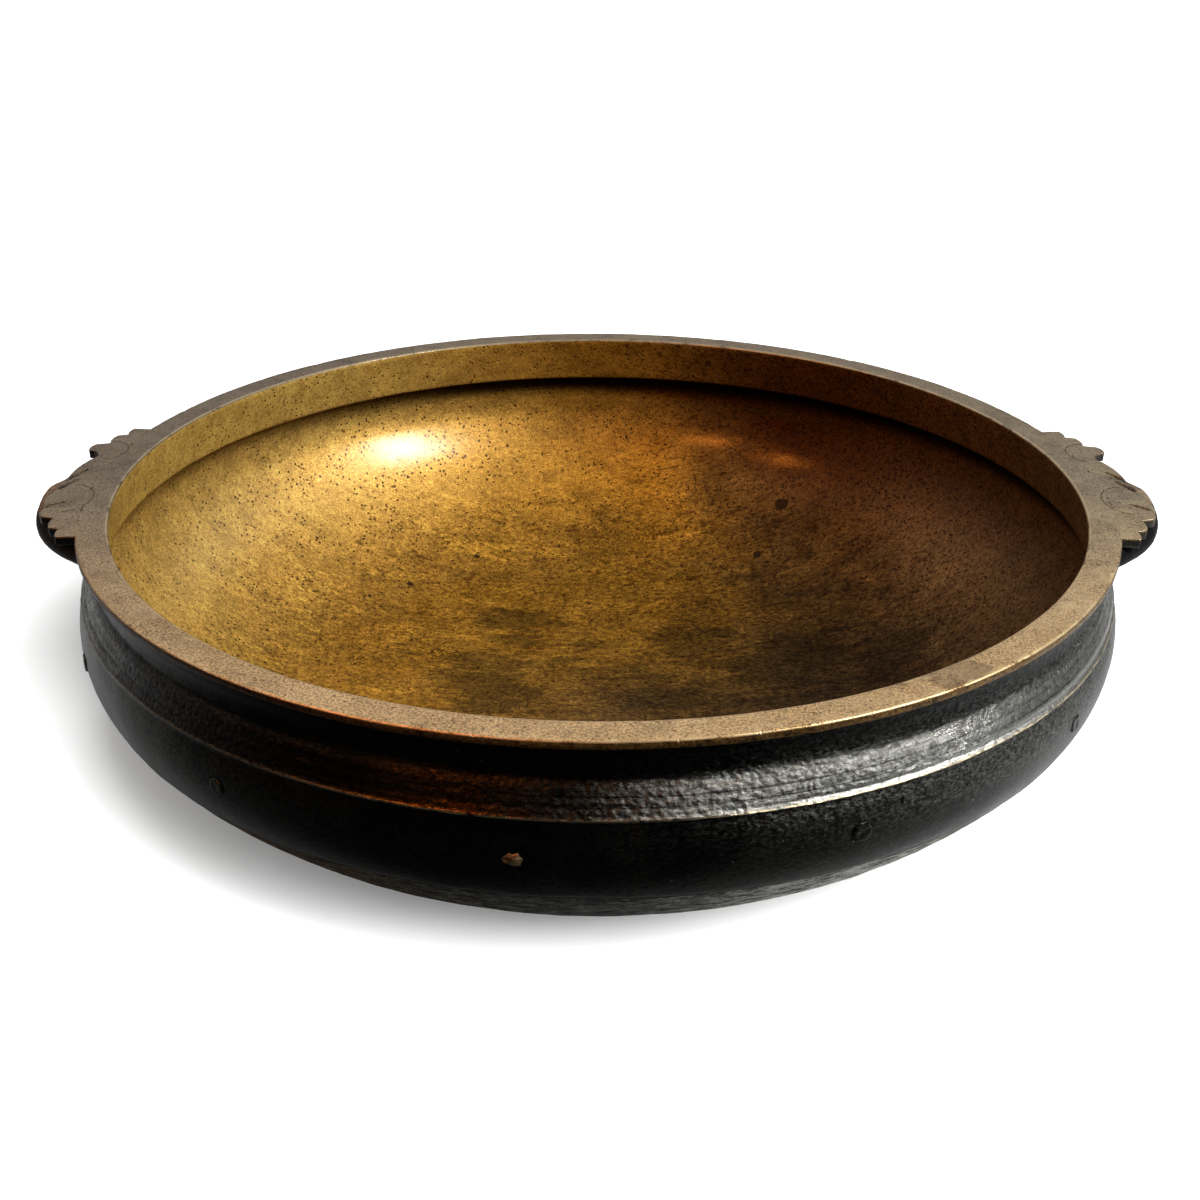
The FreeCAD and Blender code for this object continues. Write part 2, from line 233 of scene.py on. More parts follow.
# ---- engraved scrolls on the rim and the plates
def line_distance(x, y, start, end):
    """Distance from each place to a straight stroke, in mm."""
    ux, uy = end[0] - start[0], end[1] - start[1]
    t = np.clip(((x - start[0]) * ux + (y - start[1]) * uy) / (ux * ux + uy * uy), 0, 1)
    return np.hypot(x - start[0] - t * ux, y - start[1] - t * uy)


def polar(radius, degrees):
    return radius * math.cos(math.radians(degrees)), radius * math.sin(math.radians(degrees))


# scrolls: middle, half width, half length, first and last angle, depth
# strokes: their ends and depth; slots: their ends and greatest width
SCROLLS = (
    (246.5, -24.0, 12.2, 16.5, 85, 262, 0.36),
    (247.0, -24.5, 10.6, 14.6, 100, 245, 0.2),
    (243.4, 38.0, 9.4, 12.2, 80, 262, 0.34),
)
STROKES = (
    ((236.5, -38.5), (251.0, -38.0), 0.28), ((238.5, -49.0), (248.5, -46.5), 0.22),
    ((240.5, -58.0), (245.5, -56.5), 0.2), ((240.0, 51.5), (247.0, 52.0), 0.26),
    ((236.0, 57.0), (245.0, 56.0), 0.24), ((237.5, 20.0), (246.5, 15.0), 0.18),
    ((239.0, 12.5), (247.0, 7.0), 0.2), ((241.5, 26.5), (249.0, 24.5), 0.22),
    ((240.0, 3.0), (246.0, -1.5), 0.18),
)
SLOTS = (
    ((246.2, 11.8), (253.4, -1.6), 1.6), ((247.3, -0.6), (254.9, -15.4), 1.5),
    ((246.0, -28.9), (255.0, -36.6), 1.3),
)


def engraving(x, y):
    """Depth, in mm, of the lines and slots cut into the handles' top faces; the two mirror each other."""
    x = np.abs(x)
    cut = np.zeros_like(x)
    for cx, cy, across, along, start, end, depth in SCROLLS:
        dx, dy = (x - cx) / across, (y - cy) / along
        turn = np.degrees(np.arctan2(dy, dx)) % 360
        off = np.abs(np.hypot(dx, dy) - 1) * (across + along) / 2
        shown = smooth(turn, start - 8, start + 8) * (1 - smooth(turn, end - 8, end + 8))
        cut = np.maximum(cut, depth * shown * hump(off, 0, 0.5))
    for start, end, depth in STROKES:
        cut = np.maximum(cut, depth * hump(line_distance(x, y, start, end), 0, 0.42))
    for start, end, wide in SLOTS:
        ux, uy = end[0] - start[0], end[1] - start[1]
        along = np.clip(((x - start[0]) * ux + (y - start[1]) * uy) / (ux * ux + uy * uy), 0, 1)
        half = 0.3 + (wide - 0.3) * along
        cut = np.maximum(cut, 3.2 * smooth(half - line_distance(x, y, start, end), -0.35, 0.35))
    return cut


# ---- the cast surface of the bowl
def cast_relief(points, normals, zone):
    """Moves each point of the bowl, in mm, along its normal as casting, wear and knocks have."""
    x, y, z = points.T
    angle = np.degrees(np.arctan2(y, x))
    radius = np.hypot(x, y)

    def within(*names):
        return np.isin(zone, [ZONES.index(name) for name in names])

    move = 0.22 * noise(points, 90, 3) + 0.1 * noise(points, 37, 4)
    move = np.where(within("rim", "lip", "edge"), 0.35 * move, move)
    move = np.where(within("foot"), 0.0, move)

    grain = layered(points * [1, 1, 1.3], 3.4, 2, 11)
    coarse = layered(points, 9.0, 2, 21)
    wander = 0.2 * noise(points * [1, 1, 0.01], 46, 31)
    rough = 0.55 + 0.45 * noise(points, 40, 33)

    shoulder = within("shoulder").astype(float) + 0.8 * hump(z, 116.5, 3.0) * within("neck")
    groove = 0.0
    for height, depth, width in GROOVES:
        strength = np.clip(0.62 + 0.6 * noise(points * [1, 1, 0.02], 55, int(height * 10)), 0, 1)
        groove = groove - depth * strength * hump(z, height + wander, width)
        groove = groove + 0.5 * depth * strength * hump(z, height + wander - 1.1, width)
    move += (shoulder > 0.02) * groove + shoulder * (0.2 * grain * rough + 0.12 * coarse)

    under_ridge = within("belly") * smooth(z, 90, 102) * (0.35 + 0.65 * hump_angle(angle, -55, 45))
    move += under_ridge * (0.2 * grain + 0.14 * coarse)
    move += within("belly") * 0.06 * coarse
    step = within("belly") * hump(z, 69.0 + 0.4 * wander, 0.9)
    move += step * 0.35 * noise(points, 8, 41)
    dents = smooth(noise(points, 30, 44), 0.2, 0.6)
    on_ridge = 0.16 * noise(points, 6, 42) + 0.1 * noise(points, 2.5, 43) - 0.25 * dents
    move += within("ridge") * on_ridge

    dish = within("dish") * smooth(radius, 120, 150)
    move += dish * (0.16 * coarse + 0.08 * grain)
    neck = within("neck") * (z < 128.6)
    move += neck * 0.06 * coarse

    nicks = smooth(noise(points * [1, 1, 2.0], 4.2, 51), 0.52, 0.8)
    on_lip = 0.1 * noise(points, 11, 52) + 0.05 * grain - 0.34 * nicks * smooth(z, 132, 133.5)
    move += within("lip") * on_lip
    move += within("edge") * (0.06 * noise(points, 7, 53) - 0.12 * nicks)
    scuffs = smooth(noise(points, 5.0, 54), 0.62, 0.85)
    move += within("rim") * (0.05 * noise(points, 14, 55) - 0.12 * scuffs)
    handles = (np.abs(y) < 78) & (radius > 229)
    cuts = np.zeros_like(x)
    cuts[handles] = engraving(x[handles], y[handles])
    move -= within("rim", "lip") * (z > 134.9) * cuts
    move = np.where(within("rim"), np.minimum(move, 0.04), move)

    move += within("collar") * (0.07 * noise(points * [1, 1, 0.35], 8, 61) + 0.04 * grain)
    bowl_inside = within("hollow", "floor")
    pits = smooth(noise(points, 6.5, 71), 0.66, 0.86) * smooth(noise(points, 70, 72), -0.35, 0.3)
    move += bowl_inside * (0.1 * noise(points, 24, 73) + 0.05 * noise(points, 9, 74) - 0.3 * pits)
    return points + normals * move[:, None]


def mesh_object(name, vertices, faces, materials, zones=None):
    """A smooth mesh object from an array of vertices; zones are its faces' material slots."""
    mesh = bpy.data.meshes.new(name)
    mesh.from_pydata(vertices.tolist(), [], faces)
    mesh.validate()
    for material in materials:
        mesh.materials.append(material)
    mesh.polygons.foreach_set("use_smooth", [True] * len(mesh.polygons))
    if zones is not None:
        mesh.polygons.foreach_set("material_index", zones)
    obj = bpy.data.objects.new(name, mesh)
    bpy.context.scene.collection.objects.link(obj)
    return obj


def spin(points, angle):
    """The points turned about the bowl's axis."""
    c, s = math.cos(angle), math.sin(angle)
    return points @ np.array([[c, s, 0], [-s, c, 0], [0, 0, 1]])


def face_out(mesh):
    """Turns every face of a closed mesh outwards."""
    bm = bmesh.new()
    bm.from_mesh(mesh)
    bmesh.ops.recalc_face_normals(bm, faces=bm.faces)
    bm.to_mesh(mesh)
    bm.free()


def finish_piece(obj, node):
    """Ties a piece to the frame."""
    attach(obj, "root")
    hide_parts(node)
    return obj


def row_normals(rows):
    """The outward normal of the profile at each row."""
    rz = np.array([(r, z) for r, z, _, _ in rows])
    before = np.vstack([rz[:1] - [1, 0], rz[:-1]])
    after = np.vstack([rz[1:], rz[-1:] - [1, 0]])
    ahead = rz - before
    behind = after - rz
    ahead /= np.linalg.norm(ahead, axis=1)[:, None]
    behind /= np.linalg.norm(behind, axis=1)[:, None]
    way = ahead + behind
    way /= np.linalg.norm(way, axis=1)[:, None]
    return np.column_stack([way[:, 1], -way[:, 0]])


def make_bowl(materials):
    """The cast bowl: one skin turned round its profile, then given its relief."""
    rows = profile()
    normals_rz = row_normals(rows)
    points, normals, zones, starts = [], [], [], []
    total = 0
    for (r, z, zone, count), (nr, nz) in zip(rows, normals_rz):
        angles = np.arange(count) * 2 * math.pi / count
        c, s = np.cos(angles), np.sin(angles)
        points.append(np.column_stack([r * c, r * s, np.full(count, z)]))
        normals.append(np.column_stack([nr * c, nr * s, np.full(count, nz)]))
        zones.append(np.full(count, zone))
        starts.append(total)
        total += count
    points, normals, zones = np.vstack(points), np.vstack(normals), np.concatenate(zones)
    faces, face_zone = [], []
    for k in range(len(rows) - 1):
        a, b, na, nb = starts[k], starts[k + 1], rows[k][3], rows[k + 1][3]
        zone = rows[k + 1][2]
        if na == nb:
            for i in range(na):
                j = (i + 1) % na
                faces.append((a + i, a + j, b + j, b + i))
                face_zone.append(zone)
            continue
        fine, coarse, n, flip = (a, b, nb, True) if na > nb else (b, a, na, False)
        for i in range(n):
            f0, f1, f2 = fine + 2 * i, fine + 2 * i + 1, fine + (2 * i + 2) % (2 * n)
            c0, c1 = coarse + i, coarse + (i + 1) % n
            for face in ((f0, f1, c0), (f1, c1, c0), (f1, f2, c1)):
                faces.append(face if flip else face[::-1])
                face_zone.append(zone)
    for k, order in ((0, -1), (len(rows) - 1, 1)):
        middle = len(points)
        points = np.vstack([points, [0, 0, rows[k][1]]])
        normals = np.vstack([normals, [0, 0, order]])
        zones = np.append(zones, rows[k][2])
        for i in range(rows[k][3]):
            j = (i + 1) % rows[k][3]
            pair = (starts[k] + i, starts[k] + j)
            faces.append((pair if order > 0 else pair[::-1]) + (middle,))
            face_zone.append(rows[k][2])

    # finer faces on the rim where the handles' scrolls are cut
    mesh = bpy.data.meshes.new("shaping")
    mesh.from_pydata(points.tolist(), [], faces)
    bm = bmesh.new()
    bm.from_mesh(mesh)
    zone_layer = bm.verts.layers.float.new("zone")
    normal_layer = bm.verts.layers.float_vector.new("normal")
    bm.verts.ensure_lookup_table()
    for vert, zone, normal in zip(bm.verts, zones.tolist(), normals.tolist()):
        vert[zone_layer] = zone
        vert[normal_layer] = normal
    bm.faces.ensure_lookup_table()
    face_layer = bm.faces.layers.int.new("face_zone")
    for face, zone in zip(bm.faces, face_zone):
        face[face_layer] = zone
    scrolls_half, scrolls_low, scrolls_from = 62, 135.6, 231

    def on_handle(vert):
        x, y, z = vert.co
        return abs(y) < scrolls_half and z > scrolls_low and math.hypot(x, y) > scrolls_from

    engraved = [edge for edge in bm.edges if all(on_handle(vert) for vert in edge.verts)]
    bmesh.ops.subdivide_edges(bm, edges=engraved, cuts=3, use_grid_fill=True)
    bm.verts.ensure_lookup_table()
    points = np.array([v.co for v in bm.verts])
    zones = np.rint(np.array([v[zone_layer] for v in bm.verts])).astype(int)
    normals = np.array([v[normal_layer] for v in bm.verts])
    normals /= np.maximum(np.linalg.norm(normals, axis=1), 1e-9)[:, None]
    moved = cast_relief(points, normals, zones)
    moved[:, 2] = np.maximum(moved[:, 2], 0)
    for vert, co in zip(bm.verts, (moved * MM).tolist()):
        vert.co = co
    first_rim, first_inside = ZONES.index("lip"), ZONES.index("collar")
    for face in bm.faces:
        face.smooth = True
        zone = face[face_layer]
        face.material_index = 0 if zone < first_rim else 1 if zone < first_inside else 2
    bmesh.ops.recalc_face_normals(bm, faces=bm.faces)
    bowl_mesh = bpy.data.meshes.new("bowl_body_casting")
    bm.to_mesh(bowl_mesh)
    bm.free()
    bpy.data.meshes.remove(mesh)
    for material in materials:
        bowl_mesh.materials.append(material)
    bowl = bpy.data.objects.new("bowl_body_casting", bowl_mesh)
    bpy.context.scene.collection.objects.link(bowl)
    return finish_piece(bowl, "bowl_body")


# ---- handles
def plate_outline():
    """The right plate's outline: from its front end round the lobes to its back end, and home by the rim."""
    marks = [
        (polar(249.6, 5.8), -7.2, 16), (polar(255.6, 8.4), 8.3, 10), (polar(255.3, 10.4), None, 8),
        (polar(249.6, 11.0), 14.0, 10), (polar(251.0, 13.5), None, 6), (polar(246.7, 14.1), 12.0, 9),
        (polar(247.9, 16.1), None, 9), (polar(238.6, 16.5), None, 0),
    ]
    back = [marks[0][0]]
    for (here, curve, count), (there, _, _) in zip(marks, marks[1:]):
        back += arc_points(here, there, -curve, count) if curve else line_points(here, there, count)
    front = [(x, -y) for x, y in back[:15:-1]]
    teeth = line_points(polar(255.6, -8.4), polar(256.2, -7.2), 5)
    teeth += arc_points(polar(256.2, -7.2), polar(255.0, -3.8), -30, 14)
    teeth += line_points(polar(255.0, -3.8), polar(253.9, -3.3), 3)
    teeth += arc_points(polar(253.9, -3.3), polar(253.6, -0.8), -25, 10)
    teeth += line_points(polar(253.6, -0.8), polar(252.5, -0.2), 3)
    teeth += arc_points(polar(252.5, -0.2), polar(249.6, 5.8), -60, 22)
    inner = [polar(238.6, 16.5 - 33.0 * i / 90) for i in range(1, 90)]
    return front + teeth + back[1:] + inner


def outward(outline):
    """The outline's normal at each of its points."""
    ring = np.array(outline)
    way = np.roll(ring, -1, 0) - np.roll(ring, 1, 0)
    way /= np.linalg.norm(way, axis=1)[:, None]
    return np.column_stack([way[:, 1], -way[:, 0]])


def inset(outline, distance):
    """The outline moved inwards, each point along its own normal."""
    return np.array(outline) - outward(outline) * distance


def make_plate(side, materials):
    """A plate: a dense engraved top face, a rounded edge, and a plain underside."""
    outline = plate_outline()
    spacing = 0.8
    row_step = spacing * 0.87
    # rings from the top face down the edge: how far in from the outline, and how far below the top
    rings = [(0.42, 0.0), (0.14, 0.1), (0.0, 0.42), (0.0, 1.5), (0.05, 2.8), (0.1, 4.0), (0.45, 4.5)]
    top_ring = inset(outline, rings[0][0])
    inside = []
    lows, highs = top_ring.min(0), top_ring.max(0)
    for row in range(int((highs[1] - lows[1]) / row_step) + 1):
        y = lows[1] + row * row_step
        for column in range(int((highs[0] - lows[0]) / spacing) + 2):
            inside.append((lows[0] + (column + 0.5 * (row % 2)) * spacing, y))
    inside = np.array(inside)
    inside = inside[inside_ring(inside, inset(outline, rings[0][0] + 0.35))]
    count = len(top_ring)
    flat = [Vector(p) for p in np.vstack([top_ring, inside]).tolist()]
    border = [list(range(count))]
    found, _, triangles, _, _, _ = delaunay_2d_cdt(flat, [], border, 1, 1e-6)
    places = np.array([(p.x, p.y) for p in found])
    top = np.column_stack([places, np.full(len(places), HEIGHT)])
    top[:, 2] -= engraving(top[:, 0], top[:, 1]) * smooth(inset_depth(top, top_ring), 0.0, 0.5)
    top[:, 2] += 0.05 * noise(top, 12, 81) - 0.1 - 0.1 * smooth(noise(top, 4.5, 82), 0.6, 0.85)
    vertices = [top]
    faces = [tuple(t) for t in triangles]
    previous = list(range(count))
    total = len(top)
    for away, down in rings[1:]:
        ring = inset(outline, away)
        ring3 = np.column_stack([ring, np.full(count, HEIGHT - down)])
        worn = 0.12 * noise(ring3, 5, 83) + 0.07 * noise(ring3, 2.2, 84)
        ring3[:, :2] -= outward(outline) * np.clip(-worn, 0, 1)[:, None]
        vertices.append(ring3)
        current = list(range(total, total + count))
        for i in range(count):
            j = (i + 1) % count
            faces.append((previous[j], previous[i], current[i], current[j]))
        previous = current
        total += count
    under = [Vector(p) for p in inset(outline, rings[-1][0]).tolist()]
    found, _, triangles, _, _, _ = delaunay_2d_cdt(under, [], border, 1, 1e-6)
    for t in triangles:
        faces.append(tuple(previous[i] for i in t[::-1]))
    vertices = np.vstack(vertices)
    if side == "left":
        vertices[:, 0] *= -1
        faces = [face[::-1] for face in faces]
    plate = mesh_object(f"{side}_handle_plate_leaf", vertices * MM, faces, materials)
    return finish_piece(plate, f"{side}_handle_plate")


def inside_ring(places, ring):
    """Which places lie inside a closed ring."""
    x, y = places.T
    result = np.zeros(len(places), bool)
    for (x0, y0), (x1, y1) in zip(ring, np.roll(ring, -1, 0)):
        crosses = (y0 > y) != (y1 > y)
        with np.errstate(divide="ignore", invalid="ignore"):
            result ^= crosses & (x < (x1 - x0) * (y - y0) / (y1 - y0) + x0)
    return result


def inset_depth(points, ring):
    """How far each place is from the ring's line."""
    best = np.full(len(points), 1e9)
    for start, end in zip(ring, np.roll(ring, -1, 0)):
        best = np.minimum(best, line_distance(points[:, 0], points[:, 1], start, end))
    return best


def make_grip(side, turn, materials):
    """The blackened bar: a round section with a flat top, carried along its bow and into the neck."""
    reach, middle_curve, corner_curve = 258.6, 100.0, 68.0
    centre = (reach - middle_curve, 0.0)
    bend, half_turn, steps = math.radians(16.4), 69.0, 190
    drawn_in = 3.6
    corner = (
        centre[0] + (middle_curve - corner_curve) * math.cos(bend),
        (middle_curve - corner_curve) * math.sin(bend),
    )
    path = []
    for i in range(steps + 1):
        a = math.radians(-half_turn + 2 * half_turn * i / steps)
        (x, y), curve = (centre, middle_curve) if abs(a) <= bend else (corner, corner_curve)
        path.append((x + curve * math.cos(a), math.copysign(y, a) + curve * math.sin(a), a))
    around = 40
    section = []
    radius, height, flat_top = 5.7, 126.1, PLATE_LOW
    for k in range(around):
        a = 2 * math.pi * k / around
        out, up = radius * math.cos(a), radius * math.sin(a)
        up = min(up, flat_top - height - 0.02)
        section.append((out, up))
    vertices, directions = [], []
    for x, y, a in path:
        for out, up in section:
            vertices.append((x + out * math.cos(a), y + out * math.sin(a), height + up))
            size = math.hypot(out, up)
            directions.append((out * math.cos(a) / size, out * math.sin(a) / size, up / size))
    vertices, directions = np.array(vertices), np.array(directions)
    cast = 0.28 * noise(vertices, 22, 91) + 0.16 * noise(vertices, 8, 92) + 0.09 * noise(vertices, 3, 93)
    cast = np.minimum(cast - 0.15, 0.05)
    on_top = vertices[:, 2] > flat_top - 0.3
    cast = np.where(on_top, np.minimum(cast, 0) * 0.2, cast)
    vertices = vertices + directions * cast[:, None]
    reach_in = np.hypot(vertices[:, 0], vertices[:, 1])
    held = np.maximum(reach_in, WALL_MIDDLE) / reach_in
    vertices[:, :2] *= held[:, None]
    faces = []
    for i in range(len(path) - 1):
        for k in range(around):
            m = (k + 1) % around
            faces.append((i * around + k, (i + 1) * around + k, (i + 1) * around + m, i * around + m))
    faces.append(tuple(range(around)))
    faces.append(tuple(len(vertices) - around + k for k in range(around))[::-1])
    spun = spin(vertices, math.radians(turn))
    across, along = np.abs(spun[:, 0]), spun[:, 1]
    behind = smooth(along, 1, 12) * (1 - smooth(along, 34, 50)) * smooth(across, 238, 248)
    spun[:, 0] -= np.sign(spun[:, 0]) * drawn_in * behind
    grip = mesh_object(f"{side}_handle_grip_bar", spun * MM, faces, materials)
    face_out(grip.data)
    return finish_piece(grip, f"{side}_handle_grip")


# ---- chaplets
def make_chaplet(number, materials):
    """One core pin: an uneven round pin through the wall, a little proud outside and nearly flush inside."""
    low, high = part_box(f"belly_chaplet_{number:02d}")
    middle = (low + high) / 2 / MM
    angle = math.atan2(middle.y, middle.x)
    height = middle.z
    around = 36
    rings = [
        (235.95, 0.0), (235.95, 1.5), (236.0, 2.9), (236.2, 3.5), (237.2, 3.7), (240.5, 3.9),
        (243.0, 4.0), (243.55, 3.9), (243.8, 3.4), (243.85, 2.4), (243.75, 1.2), (243.7, 0.0),
    ]
    vertices, faces, index = [], [], []
    for distance, size in rings:
        row = []
        for k in range(around if size else 1):
            a = 2 * math.pi * k / around
            row.append(len(vertices))
            vertices.append((distance, size * math.cos(a), height + size * math.sin(a)))
        index.append(row)
    outside_faces = []
    for ring, (lower, upper) in enumerate(zip(index, index[1:])):
        for k in range(around):
            m = (k + 1) % around
            if len(lower) == 1:
                faces.append((lower[0], upper[m], upper[k]))
            elif len(upper) == 1:
                faces.append((lower[k], lower[m], upper[0]))
            else:
                faces.append((lower[k], lower[m], upper[m], upper[k]))
            outside_faces.append(0 if ring >= 5 else 1)
    points = np.array(vertices)
    seed = 100 + 7 * number
    flat = points * [0.05, 1, 1]
    wobble = 1 + 0.13 * noise(flat, 3.4, seed) + 0.07 * noise(flat, 1.7, seed + 1)
    points[:, 1] *= wobble
    points[:, 2] = height + (points[:, 2] - height) * wobble
    face_wear = 0.2 * noise(points, 2.6, seed + 2)
    lean = 0.34 * (points[:, 2] - height)
    points[:, 0] += np.where(points[:, 0] > 243.2, face_wear, np.where(points[:, 0] < 237.5, lean, 0))
    if number == RUBBED_CHAPLET:
        lifted = smooth(points[:, 0], 242.5, 243.6)
        points[:, 1] = points[:, 1] * (1 - 0.32 * lifted) - 3.6 * lifted
        points[:, 2] = height + (points[:, 2] - height) * (1 - 0.6 * lifted)
        points[:, 0] += lifted * (0.5 + 0.5 * noise(points, 1.8, seed + 3))
    name = f"belly_chaplet_{number:02d}_pin"
    pin = mesh_object(name, spin(points, angle) * MM, faces, materials, outside_faces)
    face_out(pin.data)
    return finish_piece(pin, f"belly_chaplet_{number:02d}")


# ---- materials
# stains on the floor inside: place in mm, reach and strength; pits: place and reach
STAINS = (
    (105, 50, 14, 95, 0.85), (55, 75, 8, 60, 0.8), (-45, 88, 9, 48, 0.75), (-100, 72, 14, 42, 0.55),
    (150, 40, 22, 60, 0.85), (20, 40, 6, 60, 0.6), (75, 140, 22, 40, 0.45), (-10, 60, 7, 40, 0.6),
    (-56, 30, 6, 55, 1.0), (40, 24, 6, 60, 0.8), (-64, 58, 8, 42, 0.8),
)
PITS = (
    (111.5, 176, 49.5, 7.5), (-71, 157, 23, 3.5), (-175, 89, 36, 3.0), (-129, 107, 21, 3.0),
    (-165, 115, 39, 3.0), (166, 113, 39, 3.2), (175, 66, 30, 3.2), (147, 61, 18, 4.0),
    (200, 79, 51, 2.6), (-108, 125, 20, 3.5), (-22, 171, 23, 3.4), (96, 152, 27, 5.0),
)


class Nodes:
    """A node tree, made in short calls."""

    def __init__(self, tree):
        self.tree = tree
        tree.nodes.clear()

    def put(self, socket, value):
        """Links or sets a socket; None leaves it as it is."""
        if hasattr(value, "is_output"):
            self.tree.links.new(value, socket)
        elif value is not None:
            flat = isinstance(value, tuple) and len(value) == 3 and socket.type == "RGBA"
            socket.default_value = (*value, 1.0) if flat else value

    def node(self, kind, *values, **settings):
        """A new node with its settings made and its first inputs filled."""
        node = self.tree.nodes.new("ShaderNode" + kind)
        for name, setting in settings.items():
            setattr(node, name, setting)
        for socket, value in zip(node.inputs, values):
            self.put(socket, value)
        return node

    def fill(self, node, values):
        """The node, with inputs filled by name."""
        for name, value in values.items():
            self.put(node.inputs[name], value)
        return node

    def math(self, operation, a, b=None, c=None, clamp=False):
        return self.node("Math", a, b, c, operation=operation, use_clamp=clamp).outputs[0]

    def times(self, first, *others):
        for other in others:
            first = self.math("MULTIPLY", first, other)
        return first

    def plus(self, a, b):
        return self.math("ADD", a, b)

    def minus(self, a, b):
        return self.math("SUBTRACT", a, b)

    def most(self, a, b):
        return self.math("MAXIMUM", a, b)

    def size(self, a):
        return self.math("ABSOLUTE", a)

    def vector(self, operation, a, b=None):
        node = self.node("VectorMath", a, b, operation=operation)
        return node.outputs["Value" if operation in ("LENGTH", "DISTANCE") else 0]

    def split(self, vector):
        return self.node("SeparateXYZ", vector).outputs

    def join(self, x, y, z):
        return self.node("CombineXYZ", x, y, z).outputs[0]

    def ramp(self, value, low, high, to_low=0.0, to_high=1.0):
        """Smooth step of a value between low and high."""
        node = self.node("MapRange", interpolation_type="SMOOTHSTEP")
        ends = {"Value": value, "From Min": low, "From Max": high, "To Min": to_low, "To Max": to_high}
        return self.fill(node, ends).outputs[0]

    def hill(self, value, middle, width):
        """1 at middle, 0 beyond width."""
        return self.ramp(self.size(self.minus(value, middle)), 0.0, width, 1.0, 0.0)


class Look(Nodes):
    """A material with one shader, worked out from the object's own places in metres."""

    SOCKETS = {
        "metal": "Metallic", "rough": "Roughness", "normal": "Normal",
        "coat": "Coat Weight", "coat_rough": "Coat Roughness", "coat_normal": "Coat Normal",
        "specular": "Specular IOR Level", "coat_ior": "Coat IOR",
    }

    def __init__(self, name):
        self.material = bpy.data.materials.new(name)
        self.material.use_nodes = True
        super().__init__(self.material.node_tree)
        self.shader = self.node("BsdfPrincipled")
        self.node("OutputMaterial", self.shader.outputs[0])
        self.place = self.node("TexCoord").outputs["Object"]

    def noise(self, millimetres, detail=4.0, roughness=0.55, twist=0.0, at=None):
        """Noise with lumps about that many millimetres across, from 0 to 1."""
        values = {
            "Vector": self.place if at is None else at, "Scale": 1000.0 / millimetres,
            "Detail": detail, "Roughness": roughness, "Distortion": twist,
        }
        return self.fill(self.node("TexNoise"), values).outputs[0]

    def stretched(self, x, y, z):
        """The place scaled along each axis, for noise drawn out one way."""
        return self.vector("MULTIPLY", self.place, (x, y, z))

    def cells(self, millimetres, feature="F1"):
        node = self.node("TexVoronoi", feature=feature)
        return self.fill(node, {"Vector": self.place, "Scale": 1000.0 / millimetres}).outputs[0]

    def holes(self, millimetres, small, large, where):
        """Round dots in that spacing, shown only in patches."""
        return self.times(self.ramp(self.cells(millimetres), small, large, 1.0, 0.0), where)

    def mix(self, amount, a, b, blend="MIX"):
        """One colour over another."""
        node = self.node("Mix", amount, data_type="RGBA", blend_type=blend)
        for socket, value in ((node.inputs[6], a), (node.inputs[7], b)):
            self.put(socket, value)
        return node.outputs[2]

    def tint(self, colour, by, amount=1.0):
        """A colour multiplied by another, by that amount."""
        return self.mix(amount, colour, by, "MULTIPLY")

    def cover(self, amount, tone):
        """Lays a tone over the look's colour."""
        self.colour = self.mix(amount, self.colour, tone)

    def dye(self, by, amount=1.0):
        """Tints the look's colour."""
        self.colour = self.tint(self.colour, by, amount)

    def bump(self, height, millimetres, under=None):
        """Relief of that depth; height runs from 0 to 1."""
        values = {"Strength": 1.0, "Distance": millimetres * 0.001, "Height": height, "Normal": under}
        return self.fill(self.node("Bump"), values).outputs[0]

    def spot(self, x, y, z, reach):
        """1 at a place in mm, falling to 0 at reach mm."""
        away = self.vector("DISTANCE", self.place, (x * MM, y * MM, z * MM))
        return self.ramp(away, 0.0, reach * MM, 1.0, 0.0)

    def most_of(self, spots):
        """The strongest of several spots."""
        found = spots[0]
        for spot in spots[1:]:
            found = self.most(found, spot)
        return found

    def set(self, **values):
        """The finished material, in the look's colour."""
        self.fill(self.shader, {"Base Color": self.colour})
        self.fill(self.shader, {self.SOCKETS[name]: value for name, value in values.items()})
        return self.material


def around_chaplets(look, x, y, z):
    """Distance in metres from the middle of the nearest core pin, on the wall."""
    step, phase, reach, height = math.radians(30), math.radians(7), 0.240, 0.088
    turn = look.math("DIVIDE", look.plus(look.math("ARCTAN2", y, x), phase), step)
    off = look.minus(look.math("FRACT", look.plus(turn, 10.5)), 0.5)
    along = look.times(off, step * reach)
    up = look.minus(z, height)
    return look.vector("LENGTH", look.join(along, up, 0.0))


